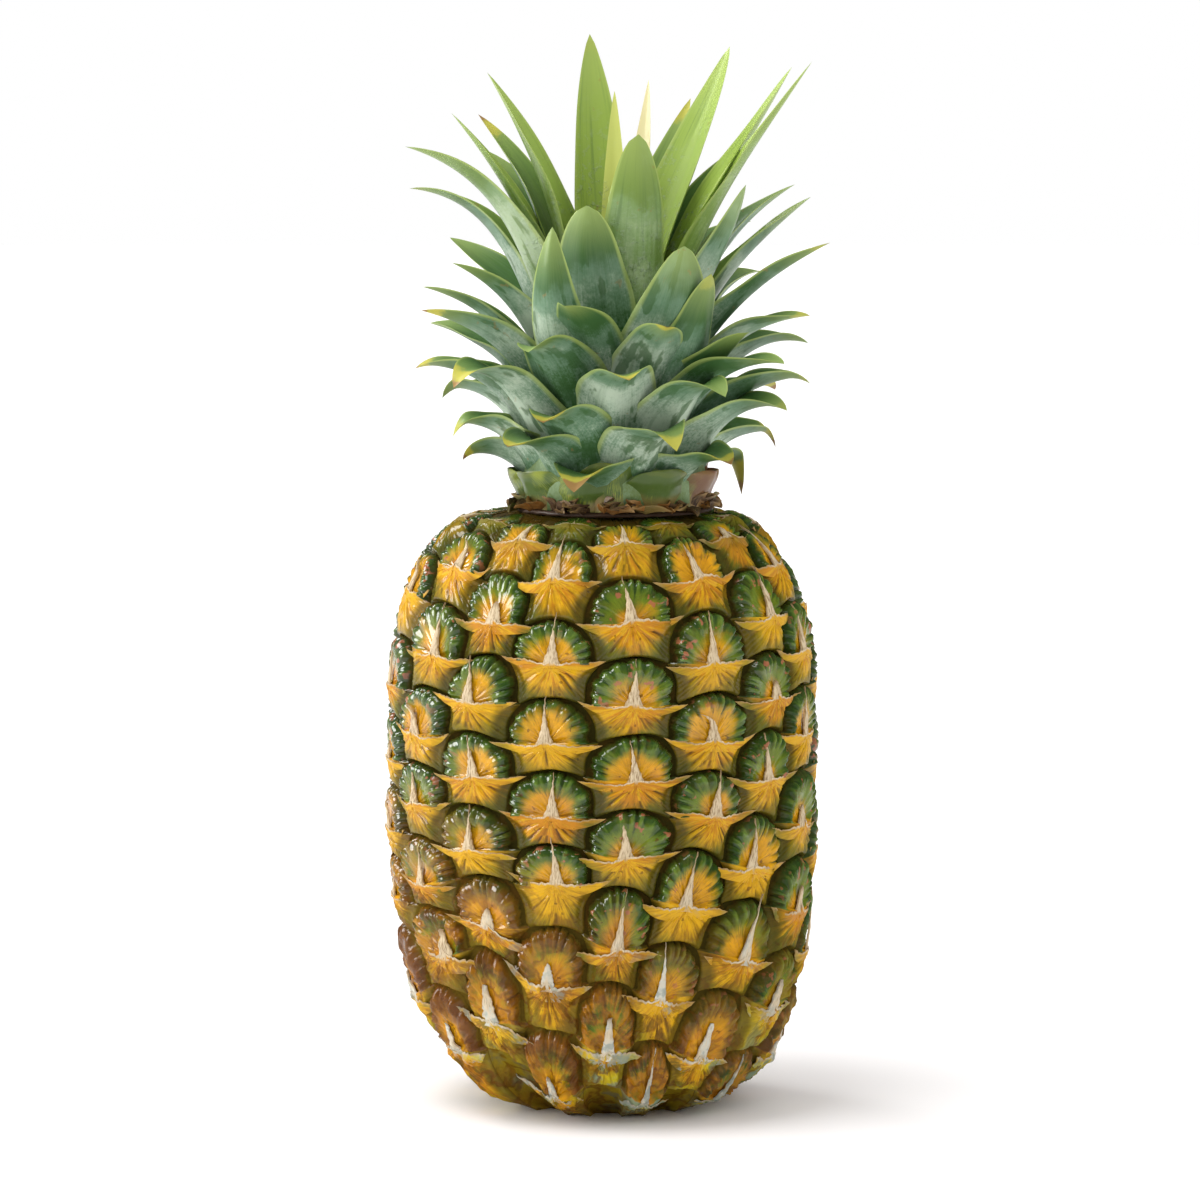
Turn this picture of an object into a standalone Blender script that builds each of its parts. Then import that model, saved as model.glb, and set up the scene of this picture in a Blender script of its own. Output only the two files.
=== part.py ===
"""A whole pineapple as picked, standing on its base. Metres, +Z up, its front facing -Y.

The origin is the middle of the cut stalk's end, which the fruit stands on together with its flattened base.
Four solids are made: the fruit with its eyes and bracts in relief, the cut stalk in its base, the dry collar
of small bracts on its shoulder, and the leafy crown with every leaf fused to the crown's own short stem.
"""

import math

import bmesh
import bpy
import numpy as np
from mathutils import Vector
from mathutils.geometry import delaunay_2d_cdt

# Driving sizes of the fruit, measured at the floor of the grooves between the eyes
FRUIT_HEIGHT = 0.165
GROOVE_RADIUS = 0.0562
WIDEST_HEIGHT = 0.092
SHOULDER_TOP = 0.168
BASE_BOTTOM = -0.005
SHOULDER_POWERS = (4.2, 2.4)
BASE_POWERS = (3.0, 2.5)
BODY_LEAN = -0.0019
LEAN_HEIGHT = 0.070

# The eyes stand in alternating rows of eight, each row this far up the profile. The first and the last are only
# the outermost grooves
EYES_PER_ROW = 8
ROW_ARCS = (0.0, 0.0150, 0.0320, 0.0490, 0.0620, 0.0755, 0.0870, 0.0975, 0.1070, 0.1172, 0.1276, 0.1376, 0.1486,
            0.1597, 0.1715, 0.1803, 0.1865)
ROWS = len(ROW_ARCS) - 2
FRONT_EYE_ANGLE = -14.1
SIDE_CORNER = 13.4
TOP_CORNER = 0.673
EYE_SWELL = 0.12
PROFILE_POINTS = 800

# Every eye and every corner between eyes wanders a little, in degrees round the fruit and up its profile. These
# eyes, by row and place, grew further off the even lattice
EYE_WANDER = (1.0, 0.0006)
CORNER_WANDER = (1.0, 0.0007)
STRAY_EYES = {
    (0, 0): (-4.0, 0.001), (0, 7): (0.0, 0.005), (1, 1): (-4.0, 0.002), (2, 0): (1.0, 0.003),
    (2, 1): (-5.0, 0.000), (2, 7): (10.0, -0.001), (3, 7): (5.0, -0.001), (4, 0): (3.0, 0.004),
    (4, 1): (-4.0, -0.001), (4, 7): (2.0, -0.005), (5, 1): (-6.0, -0.002), (6, 2): (-8.0, -0.003),
    (7, 1): (-4.0, -0.001), (8, 2): (-6.0, -0.002), (10, 2): (-6.0, 0.000), (10, 7): (8.0, 0.001),
    (11, 6): (5.0, 0.005), (11, 7): (5.0, 0.000), (12, 2): (-6.0, 0.001), (12, 7): (7.0, 0.002),
    (13, 6): (-5.0, 0.005), (13, 7): (5.0, 0.000),
}

# The low rows crowd together on the right of the front. They also drift off their level: by so much, where they
# start, are full, start to fade and end round the fruit, and the same up its profile
CROWDING = -23.0
CROWDING_HEIGHT = 0.100
CROWDING_ANGLES = (-45.0, 70.0, 315.0)
DRIFTS = [(0.0090, (-12.0, -40.0, -90.0, -200.0), (0.0, 0.020, 0.050, 0.095)),
          (-0.0085, (8.0, 85.0, 110.0, 200.0), (0.0, 0.030, 0.070, 0.120))]

# Points of one eye: across and up, from -1 to 1 over its hexagon, and the height over the grooves in mm
EYE_BORDER = [(1.0, 0.0, 0.0), (TOP_CORNER, 1.0, 0.0), (-TOP_CORNER, 1.0, 0.0),
              (-1.0, 0.0, 0.0), (-TOP_CORNER, -1.0, 0.0), (TOP_CORNER, -1.0, 0.0)]
EYE_RIM = [(-0.82, 0.16, 1.8), (-0.70, 0.52, 2.4), (-0.46, 0.84, 2.5), (0.0, 0.92, 2.5),
           (0.46, 0.84, 2.5), (0.70, 0.52, 2.4), (0.82, 0.16, 1.8)]
EYE_LOBES = [(-0.40, 0.45, 2.9), (0.40, 0.45, 2.9)]
BRACT_FOOT = [(-0.60, 0.12, 1.5), (-0.26, 0.10, 2.1), (0.26, 0.10, 2.1), (0.60, 0.12, 1.5)]
BRACT_EDGE = [(-0.92, 0.03, 1.3), (-0.55, -0.02, 2.9), (-0.14, -0.03, 3.5), (0.14, -0.03, 3.5),
              (0.55, -0.02, 2.9), (0.92, 0.03, 1.3)]
BRACT_FACE = [(-0.60, -0.45, 1.9), (0.0, -0.45, 2.9), (0.60, -0.45, 1.9)]
BRACT_HEEL = [(-0.36, -0.84, 1.2), (0.0, -0.80, 1.8), (0.36, -0.84, 1.2)]
SPINE_RIDGE = [(0.0, 0.02, 4.0), (0.0, 0.42, 4.4), (0.0, 0.80, 4.8)]
SPINE_FEET = [(-0.10, 0.40, 2.8), (0.10, 0.40, 2.8)]
MM = 0.001
SAME_PLACE = 1e-6

# The cut stalk stands in a plain round hole in the base
STALK_RADIUS = 0.0130
STALK_LENGTH = 0.0085
STALK_BEVEL = 0.0008
STALK_SIDES = 24
BASE_FLAT_RADIUS = 0.0210
BASE_FADE = 0.0080
NECK_FADE = 0.0110
GAP = 0.0004

# The crown stands on the flat top of the fruit, a little to the right of its middle
CROWN_AXIS_X = 0.0015
TOP_FLAT_RADIUS = 0.0225
TOP_RISE = 0.0020
CROWN_STEM = [(0.0, 0.0246), (0.009, 0.0256), (0.016, 0.0236), (0.026, 0.0186), (0.042, 0.0124), (0.058, 0.0062),
              (0.068, 0.0022)]
STEM_SIDES = 16

# The collar is a low ring round the crown's foot, with small dry bracts
COLLAR_SECTION = [(0.0262, 0.0004), (0.0278, 0.0001), (0.0274, 0.0018), (0.0264, 0.0024)]
COLLAR_SIDES = 24
COLLAR_BRACTS = 20
COLLAR_BRACT_ROOT = 0.0268
COLLAR_BRACT_LENGTH = 0.0030
COLLAR_BRACT_HALF_WIDTH = 0.0028
COLLAR_BRACT_CLIMB = 0.0018
COLLAR_BRACT_THICKNESS = 0.0012
COLLAR_BRACT_MIDRIB = 0.6

# How much the collar's bracts differ, as shares of their spacing, length, half width and climb, and how far
# their tips lie aside, as a share of the half width
COLLAR_STRAY_TURN = 0.3
COLLAR_STRAY_LENGTH = 0.3
COLLAR_STRAY_WIDTH = 0.2
COLLAR_STRAY_CLIMB = 0.8
COLLAR_STRAY_TIP = 0.3

# The spiral of leaves: their values at the lowest leaf, at even steps between, and at the highest
GOLDEN_ANGLE = 137.508
SPIRAL_LEAVES = 66
SPIRAL_PHASE = -8.0
ROOT_HEIGHTS = (0.0030, 0.0100, 0.0185, 0.0270, 0.0350, 0.0430)
TIP_REACHES = (0.0400, 0.0500, 0.0560, 0.0575, 0.0540, 0.0400)
TIP_HEIGHTS = (0.0130, 0.0290, 0.0460, 0.0700, 0.0960, 0.1120)
ROOT_RISES = (76.0, 68.0, 62.0, 64.0, 70.0, 78.0)
TIP_RISES = (-32.0, -30.0, -15.0, 8.0, 35.0, 60.0)
LEAF_WIDTHS = (0.0220, 0.0215, 0.0210, 0.0195, 0.0170, 0.0150)
LEAF_BLUNTNESS = (0.7, 0.6, 0.4, 0.2, 0.1, 0.1)
FRONT_CLEAR_FROM = 0.55
FRONT_CLEAR_ANGLE = 112.0

# How much the leaves of the spiral differ: in degrees of turn, rise at the root, rise at the tip and sweep, in
# the height of the tip, and as shares of the reach and the width
LEAF_STRAY_TURN = 4.0
LEAF_STRAY_ROOT_RISE = 4.0
LEAF_STRAY_TIP_RISE = 14.0
LEAF_STRAY_SWEEP = 9.0
LEAF_STRAY_HEIGHT = 0.0030
LEAF_STRAY_REACH = 0.06
LEAF_STRAY_WIDTH = 0.06

# The upper leaves that face the front, each placed by hand: azimuth, reach and height of the tip, height of
# the root, width, the rise at the root and at the tip, and how blunt its tip is
UPPER_LEAVES = [
    (200.0, 0.020, 0.1305, 0.046, 0.0175, 84.0, 86.0, 0.3),
    (130.0, 0.042, 0.1270, 0.044, 0.0185, 80.0, 68.0, 0.3),
    (252.0, 0.037, 0.1200, 0.042, 0.0170, 80.0, 56.0, 0.2),
    (102.0, 0.050, 0.1215, 0.040, 0.0150, 76.0, 58.0, 0.1),
    (88.0, 0.054, 0.1230, 0.038, 0.0130, 76.0, 54.0, 0.0),
    (21.0, 0.018, 0.1035, 0.042, 0.0190, 66.0, 96.0, 1.0),
    (-17.0, 0.026, 0.0845, 0.036, 0.0215, 56.0, 96.0, 1.0),
    (-27.0, 0.037, 0.0790, 0.026, 0.0200, 40.0, 104.0, 0.1),
    (27.0, 0.041, 0.0740, 0.030, 0.0220, 46.0, 88.0, 0.9),
    (37.0, 0.043, 0.0665, 0.024, 0.0205, 42.0, 70.0, 0.3),
    (50.0, 0.047, 0.0505, 0.021, 0.0205, 44.0, 30.0, 0.8),
    (180.0, 0.006, 0.1150, 0.054, 0.0080, 88.0, 88.0, 0.0),
    (150.0, 0.019, 0.1180, 0.052, 0.0085, 80.0, 84.0, 0.0),
    (266.0, 0.045, 0.1090, 0.038, 0.0140, 74.0, 48.0, 0.1),
    (280.0, 0.058, 0.1000, 0.034, 0.0190, 70.0, 14.0, 0.2),
    (258.0, 0.058, 0.0880, 0.031, 0.0170, 66.0, 2.0, 0.2),
    (298.0, 0.050, 0.0690, 0.029, 0.0180, 60.0, 20.0, 0.2),
    (272.0, 0.053, 0.0615, 0.026, 0.0165, 60.0, 10.0, 0.2),
    (60.0, 0.041, 0.0900, 0.034, 0.0165, 66.0, 70.0, 0.2),
    (92.0, 0.054, 0.0860, 0.032, 0.0160, 66.0, 36.0, 0.2),
    (78.0, 0.060, 0.0740, 0.029, 0.0170, 60.0, 24.0, 0.2),
]
LEAF_STATIONS = (0.0, 0.16, 0.38, 0.60, 0.80, 0.93)
LEAF_THICKNESS = (0.0030, 0.0010)
LEAF_CHANNEL = (0.30, 0.16)
LEAF_ROOT_DEPTH = 0.0040
LEAF_FACE_SHARE = 0.3
BEZIER_REACH = 0.40

# A leaf's outline: the powers that a sharp tip has and what a blunt one adds to them, how wide the root is, how
# far along the leaf gets its full width, and the outline's widest value
TIP_SHARE_POWERS = (2.1, 1.5)
TIP_WIDTH_POWERS = (0.80, -0.25)
LEAF_ROOT_BREADTH = 0.84
LEAF_FULL_FROM = 0.30
LEAF_WIDEST = 0.95

WANDER_WEIGHTS = (12.9898, 78.233, 37.719)
WANDER_SCALE = 43758.5453

EYE_GREEN = (0.30, 0.30, 0.05, 1.0)
LEAF_GREEN = (0.11, 0.22, 0.08, 1.0)
DRY_BROWN = (0.34, 0.20, 0.07, 1.0)
STALK_TAN = (0.52, 0.40, 0.22, 1.0)


def wander(*keys):
    """A fixed value from -1 to 1 for these whole numbers, the same on each run."""
    turned = math.sin(sum(key * weight for key, weight in zip(keys, WANDER_WEIGHTS))) * WANDER_SCALE
    return 2.0 * (turned - math.floor(turned)) - 1.0


def smooth(value):
    """An even rise from 0 to 1, held at both ends."""
    value = min(max(value, 0.0), 1.0)
    return value * value * (3.0 - 2.0 * value)


def groove_radius(height):
    """The fruit's radius at the floor of its grooves."""
    if height >= WIDEST_HEIGHT:
        share = (height - WIDEST_HEIGHT) / (SHOULDER_TOP - WIDEST_HEIGHT)
        power, root = SHOULDER_POWERS
    else:
        share = (WIDEST_HEIGHT - height) / (WIDEST_HEIGHT - BASE_BOTTOM)
        power, root = BASE_POWERS
    return GROOVE_RADIUS * (1.0 - share**power) ** (1.0 / root)


PROFILE_HEIGHTS = np.linspace(0.0, FRUIT_HEIGHT, PROFILE_POINTS)
PROFILE_RADII = np.array([groove_radius(height) for height in PROFILE_HEIGHTS])
PROFILE_ARCS = np.concatenate([[0.0], np.cumsum(np.hypot(np.diff(PROFILE_HEIGHTS), np.diff(PROFILE_RADII)))])


def crowding(angle, height):
    """The turn in degrees that the crowding of the low rows gives a point at this angle and height."""
    first, most, last = CROWDING_ANGLES
    angle = first + (angle - first) % 360.0
    share = smooth((angle - first) / (most - first)) * smooth((last - angle) / (last - most))
    return CROWDING * share * smooth(1.0 - height / CROWDING_HEIGHT)


def drift(angle, arc):
    """How far the low rows drift up or down the profile at this angle and distance up it."""
    total = 0.0
    for amount, (start, full, fading, end), (low, risen, held, high) in DRIFTS:
        turn = full + (angle - full + 180.0) % 360.0 - 180.0
        share = smooth((turn - start) / (full - start)) * smooth((turn - end) / (fading - end))
        total += amount * share * smooth((arc - low) / (risen - low)) * smooth((high - arc) / (high - held))
    return total


def skin_point(angle, arc, relief=0.0):
    """The point at this angle and distance up the profile, standing off the groove floor by the relief."""
    arc += drift(angle, arc)
    height = float(np.interp(arc, PROFILE_ARCS, PROFILE_HEIGHTS))
    radius = float(np.interp(arc, PROFILE_ARCS, PROFILE_RADII))
    before, after = np.interp([arc - MM, arc + MM], PROFILE_ARCS, PROFILE_RADII)
    low, high = np.interp([arc - MM, arc + MM], PROFILE_ARCS, PROFILE_HEIGHTS)
    outward = Vector((high - low, 0.0, before - after)).normalized()
    turned = math.radians(angle + crowding(angle, height))
    relief *= smooth(height / BASE_FADE) * smooth((ROW_ARCS[-1] - arc) / NECK_FADE)
    radius += outward.x * relief
    height = min(max(height + outward.z * relief, 0.0), FRUIT_HEIGHT + TOP_RISE)
    middle = BODY_LEAN * smooth(height / LEAN_HEIGHT)
    return Vector((middle + radius * math.sin(turned), -radius * math.cos(turned), height))


def row_arc(row):
    """How far this row is up the profile. Row -1 and row ROWS are the outermost grooves."""
    return ROW_ARCS[row + 1]


def eye_angle(row, place):
    """The angle of an eye's middle, in degrees from the front and before the low rows' turn."""
    return FRONT_EYE_ANGLE + (place + 0.5 * (row % 2)) * 360.0 / EYES_PER_ROW


def eye_stray(row, place):
    """How far an eye is off the even lattice, in degrees and up the profile."""
    place %= EYES_PER_ROW
    if not 0 <= row < ROWS:
        return Vector((0.0, 0.0))
    if (row, place) in STRAY_EYES:
        return Vector(STRAY_EYES[row, place])
    return Vector((EYE_WANDER[0] * wander(row, place, 51), EYE_WANDER[1] * wander(row, place, 61)))


def corner_stray(row, place, side):
    """How far a side corner of an eye is off the even lattice: about as far as the three eyes round it are."""
    if not 0 <= row < ROWS:
        return Vector((0.0, 0.0))
    beside = place + row % 2 + min(side, 0)
    mean = (eye_stray(row, place) + eye_stray(row - 1, beside) + eye_stray(row + 1, beside)) / 3.0
    own = Vector((CORNER_WANDER[0] * wander(row, place, side), CORNER_WANDER[1] * wander(row, place, side + 5)))
    return mean + own


def corner_point(row, place, side):
    """A side corner of an eye, which two eyes of the rows above and below share."""
    stray = corner_stray(row, place, side)
    return skin_point(eye_angle(row, place) + side * SIDE_CORNER + stray.x, row_arc(row) + stray.y)


def eye_border(row, place):
    """The six corners of an eye as (row, place, side), anticlockwise from its right."""
    right = place + row % 2
    left = right - 1
    corners = [(row, place, 1), (row + 1, right, -1), (row + 1, left, 1),
               (row, place, -1), (row - 1, left, 1), (row - 1, right, -1)]
    return [(r, p % EYES_PER_ROW, s) for r, p, s in corners]


def corner_shares(across, up):
    """How much of each border corner's stray a point of the eye takes. The rest is the eye's own."""
    shares = [0.0] * len(EYE_BORDER)
    for corner, (here, after) in enumerate(zip(EYE_BORDER, EYE_BORDER[1:] + EYE_BORDER[:1])):
        size = here[0] * after[1] - here[1] * after[0]
        first = (across * after[1] - up * after[0]) / size
        second = (here[0] * up - here[1] * across) / size
        if first >= 0.0 and second >= 0.0:
            shares[corner] = first
            shares[(corner + 1) % len(EYE_BORDER)] = second
            break
    return shares


def eye_pattern():
    """The points of one eye, with its border first, and the triangles between them."""
    border = EYE_BORDER
    inner = EYE_RIM + EYE_LOBES + BRACT_FOOT + BRACT_EDGE + BRACT_FACE + BRACT_HEEL + SPINE_RIDGE + SPINE_FEET
    points = border + inner
    lines = [(index, (index + 1) % len(border)) for index in range(len(border))]
    for ridge in (EYE_RIM, BRACT_FOOT[:2], BRACT_FOOT[2:], BRACT_EDGE, SPINE_RIDGE):
        first = points.index(ridge[0])
        lines += [(first + step, first + step + 1) for step in range(len(ridge) - 1)]
    flat = [Vector((across, up)) for across, up, relief in points]
    found = delaunay_2d_cdt(flat, lines, [], 0, SAME_PLACE)
    places = [origins[0] for origins in found[3]]
    triangles = [[places[corner] for corner in face] for face in found[2]]
    return points, len(border), triangles


def fruit_mesh():
    """The points and faces of the fruit: its eyes, its flat base with the stalk's hole, and its flat top."""
    pattern, border_count, triangles = eye_pattern()
    points, faces, corner_index = [], [], {}

    def corner(key):
        if key not in corner_index:
            corner_index[key] = len(points)
            points.append(corner_point(*key))
        return corner_index[key]

    for row in range(ROWS):
        below, here, above = row_arc(row - 1), row_arc(row), row_arc(row + 1)
        for place in range(EYES_PER_ROW):
            border = eye_border(row, place)
            numbers = [corner(key) for key in border]
            strays = [corner_stray(*key) for key in border]
            own = eye_stray(row, place)
            swell = 1.0 + EYE_SWELL * wander(row, place, 9)
            for across, up, relief in pattern[border_count:]:
                shares = corner_shares(across, up)
                stray = own * (1.0 - sum(shares))
                for corner_own, share in zip(strays, shares):
                    stray += corner_own * share
                angle = eye_angle(row, place) + across * SIDE_CORNER + stray.x
                arc = here + up * ((above - here) if up > 0.0 else (here - below)) + stray.y
                numbers.append(len(points))
                points.append(skin_point(angle, arc, relief * swell * MM))
            faces += [[numbers[index] for index in triangle] for triangle in triangles]

    def ring(radius, height, loop, middle):
        """One point for each of the loop's, at its angle round this middle."""
        first = len(points)
        for index in loop:
            angle = math.atan2(points[index].x - middle, -points[index].y)
            points.append(Vector((middle + radius * math.sin(angle), -radius * math.cos(angle), height)))
        return list(range(first, first + len(loop)))

    def join(lower, upper):
        """Quads between two loops that run to the right."""
        for index in range(len(lower)):
            after = (index + 1) % len(lower)
            faces.append([lower[index], lower[after], upper[after], upper[index]])

    bottom, top = [], []
    last = ROWS - 1
    for place in range(EYES_PER_ROW):
        bottom += [corner(key) for key in ((-1, (place - 1) % EYES_PER_ROW, 1), (-1, place, -1),
                                           (0, place, 1), (0, (place + 1) % EYES_PER_ROW, -1))]
        outer = eye_border(last, place)
        top += [corner(outer[2]), corner(outer[1]), corner(outer[0]),
                corner((last, (place + 1) % EYES_PER_ROW, -1))]
    foot = ring(BASE_FLAT_RADIUS, 0.0, bottom, 0.0)
    hole = ring(STALK_RADIUS + GAP, 0.0, bottom, 0.0)
    hole_end = ring(STALK_RADIUS + GAP, STALK_LENGTH + GAP, bottom, 0.0)
    join(hole_end, hole)
    join(hole, foot)
    join(foot, bottom)
    faces.append(list(reversed(hole_end)))
    flat = ring(TOP_FLAT_RADIUS, FRUIT_HEIGHT, top, BODY_LEAN)
    join(top, flat)
    faces.append(flat)
    return points, faces


def plain_material(name, colour, roughness):
    """A plain finish of one colour."""
    material = bpy.data.materials.new(name)
    material.use_nodes = True
    shader = material.node_tree.nodes["Principled BSDF"]
    shader.inputs["Base Color"].default_value = colour
    shader.inputs["Roughness"].default_value = roughness
    shader.inputs["Metallic"].default_value = 0.0
    return material


def mesh_object(name, points, faces, material, collection=None):
    """An object made of these points and faces, in the scene or in the collection given."""
    mesh = bpy.data.meshes.new(name)
    mesh.from_pydata([tuple(point) for point in points], [], faces)
    mesh.validate()
    mesh.materials.append(material)
    made = bpy.data.objects.new(name, mesh)
    (collection or bpy.context.scene.collection).objects.link(made)
    return made


def turned_solid(rings, sides, middle):
    """Points and faces of a solid turned about an upright axis, from (height, radius) pairs and flat ends."""
    points, faces = [], []
    for height, radius in rings:
        for side in range(sides):
            angle = 2.0 * math.pi * side / sides
            points.append(middle + Vector((radius * math.sin(angle), -radius * math.cos(angle), height)))
    for level in range(len(rings) - 1):
        for side in range(sides):
            after = (side + 1) % sides
            low, high = level * sides, (level + 1) * sides
            faces.append([low + side, low + after, high + after, high + side])
    faces.append(list(reversed(range(sides))))
    faces.append(list(range((len(rings) - 1) * sides, len(rings) * sides)))
    return points, faces


def turned_ring(section, sides, middle):
    """Points and faces of a closed ring turned about an upright axis, from (radius, height) corners."""
    points, faces = [], []
    for radius, height in section:
        for side in range(sides):
            angle = 2.0 * math.pi * side / sides
            points.append(middle + Vector((radius * math.sin(angle), -radius * math.cos(angle), height)))
    for corner in range(len(section)):
        here, there = corner * sides, (corner + 1) % len(section) * sides
        for side in range(sides):
            after = (side + 1) % sides
            faces.append([here + side, here + after, there + after, there + side])
    return points, faces


def between(values, share):
    """The value this far along a row of evenly spaced ones."""
    return float(np.interp(share, np.linspace(0.0, 1.0, len(values)), values))


def leaf_line(root, tip, root_rise, tip_rise, share):
    """The reach and height of a leaf's middle line and its rise in radians, this far from root to tip."""
    length = math.dist(root, tip) * BEZIER_REACH
    rises = math.radians(root_rise), math.radians(tip_rise)
    points = (root,
              (root[0] + length * math.cos(rises[0]), root[1] + length * math.sin(rises[0])),
              (tip[0] - length * math.cos(rises[1]), tip[1] - length * math.sin(rises[1])),
              tip)
    rest = 1.0 - share
    weights = (rest**3, 3 * rest * rest * share, 3 * rest * share * share, share**3)
    slopes = (-3 * rest * rest, 3 * rest * (rest - 2 * share), 3 * share * (2 * rest - share), 3 * share * share)
    reach, height = (sum(w * point[axis] for w, point in zip(weights, points)) for axis in (0, 1))
    run, climb = (sum(w * point[axis] for w, point in zip(slopes, points)) for axis in (0, 1))
    return reach, height, math.atan2(climb, run)


def leaf_breadth(share, bluntness):
    """A leaf's width along its length, as a share of the widest."""
    share_power = TIP_SHARE_POWERS[0] + TIP_SHARE_POWERS[1] * bluntness
    width_power = TIP_WIDTH_POWERS[0] + TIP_WIDTH_POWERS[1] * bluntness
    root = LEAF_ROOT_BREADTH + (1.0 - LEAF_ROOT_BREADTH) * smooth(share / LEAF_FULL_FROM)
    return (1.0 - share**share_power) ** width_power * root / LEAF_WIDEST


def leaf_mesh(azimuth, root, tip, root_rise, tip_rise, width, bluntness, sweep):
    """Points and faces of one channelled leaf: a root end, four points at each station and a pointed tip."""
    points, faces = [], []
    stations = [*LEAF_STATIONS, 1.0]
    for share in stations:
        reach, height, rise = leaf_line(root, tip, root_rise, tip_rise, share)
        angle = math.radians(azimuth + sweep * share * share)
        outward = Vector((math.sin(angle), -math.cos(angle), 0.0))
        across = Vector((math.cos(angle), math.sin(angle), 0.0))
        upper = Vector((0.0, 0.0, math.cos(rise))) - outward * math.sin(rise)
        middle = outward * reach + Vector((CROWN_AXIS_X, 0.0, FRUIT_HEIGHT + height))
        if share == 1.0:
            points.append(middle)
            continue
        half = 0.5 * width * leaf_breadth(share, bluntness)
        lift = half * 2.0 * between(LEAF_CHANNEL, share)
        thick = between(LEAF_THICKNESS, share)
        points += [middle + across * half + upper * lift, middle + upper * thick * LEAF_FACE_SHARE,
                   middle - across * half + upper * lift, middle - upper * thick * (1.0 - LEAF_FACE_SHARE)]
    for station in range(len(LEAF_STATIONS) - 1):
        low, high = 4 * station, 4 * station + 4
        for margin, middle in ((0, 1), (2, 1), (2, 3), (0, 3)):
            halves = [[low + margin, low + middle, high + middle], [low + margin, high + middle, high + margin]]
            faces += halves if (margin, middle) in ((0, 1), (2, 3)) else [list(reversed(half)) for half in halves]
    end = 4 * (len(LEAF_STATIONS) - 1)
    faces += [[end + corner, end + (corner + 1) % 4, end + 4] for corner in range(4)]
    faces.append([3, 2, 1, 0])
    return points, faces


def stem_radius(height):
    """The crown stem's radius at this height over the fruit's top."""
    return float(np.interp(height, [level for level, radius in CROWN_STEM], [radius for level, radius in CROWN_STEM]))


def crown_leaves():
    """The values of every leaf: azimuth, root, tip, rises, width, bluntness and sideways sweep."""
    leaves = []
    for number in range(SPIRAL_LEAVES):
        share = number / (SPIRAL_LEAVES - 1)
        azimuth = (SPIRAL_PHASE + GOLDEN_ANGLE * number) % 360.0
        from_front = min(azimuth, 360.0 - azimuth)
        if share > FRONT_CLEAR_FROM and from_front < FRONT_CLEAR_ANGLE:
            continue
        root_height = between(ROOT_HEIGHTS, share)
        root = (stem_radius(root_height) - LEAF_ROOT_DEPTH, root_height)
        tip = (between(TIP_REACHES, share) * (1.0 + LEAF_STRAY_REACH * wander(number, 1)),
               between(TIP_HEIGHTS, share) + LEAF_STRAY_HEIGHT * wander(number, 2))
        leaves.append((azimuth + LEAF_STRAY_TURN * wander(number, 3), root, tip,
                       between(ROOT_RISES, share) + LEAF_STRAY_ROOT_RISE * wander(number, 4),
                       between(TIP_RISES, share) + LEAF_STRAY_TIP_RISE * wander(number, 5),
                       between(LEAF_WIDTHS, share) * (1.0 + LEAF_STRAY_WIDTH * wander(number, 6)),
                       between(LEAF_BLUNTNESS, share), LEAF_STRAY_SWEEP * wander(number, 7)))
    for azimuth, reach, height, root_height, width, root_rise, tip_rise, bluntness in UPPER_LEAVES:
        root = (max(stem_radius(root_height) - LEAF_ROOT_DEPTH, 0.0), root_height)
        leaves.append((azimuth, root, (reach, height), root_rise, tip_rise, width, bluntness, 0.0))
    return leaves


def keep_outside(mesh):
    """Takes away what isn't linked to the mesh's highest point: the small hollows that a union closes in."""
    whole = bmesh.new()
    whole.from_mesh(mesh)
    reached = {max(whole.verts, key=lambda point: point.co.z)}
    edge_of_search = list(reached)
    while edge_of_search:
        point = edge_of_search.pop()
        for edge in point.link_edges:
            other = edge.other_vert(point)
            if other not in reached:
                reached.add(other)
                edge_of_search.append(other)
    bmesh.ops.delete(whole, geom=[point for point in whole.verts if point not in reached], context="VERTS")
    whole.to_mesh(mesh)
    whole.free()


def joined(base, pieces):
    """One closed mesh made of the base and every piece of a collection, which is then removed."""
    union = base.modifiers.new("Join", "BOOLEAN")
    union.operation = "UNION"
    union.operand_type = "COLLECTION"
    union.collection = pieces
    union.solver = "MANIFOLD"
    bpy.context.view_layer.update()
    graph = bpy.context.evaluated_depsgraph_get()
    whole = bpy.data.meshes.new_from_object(base.evaluated_get(graph))
    base.modifiers.clear()
    keep_outside(whole)
    base.data = whole
    for piece in list(pieces.objects):
        bpy.data.objects.remove(piece)
    bpy.data.collections.remove(pieces)
    return base


def new_collection(name):
    """A collection in the scene that holds pieces to be joined."""
    made = bpy.data.collections.new(name)
    bpy.context.scene.collection.children.link(made)
    return made


def make_fruit():
    """The fruit, which grew as one body of many eyes."""
    points, faces = fruit_mesh()
    return mesh_object("fruit", points, faces, plain_material("fruit_skin", EYE_GREEN, 0.35))


def make_stalk():
    """The end of the stalk that the fruit was cut from, flush with the base."""
    points, faces = turned_solid([(0.0, STALK_RADIUS - STALK_BEVEL), (STALK_BEVEL, STALK_RADIUS),
                                  (STALK_LENGTH, STALK_RADIUS)], STALK_SIDES, Vector((0.0, 0.0, 0.0)))
    return mesh_object("stalk", points, faces, plain_material("stalk_wood", STALK_TAN, 0.8))


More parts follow.
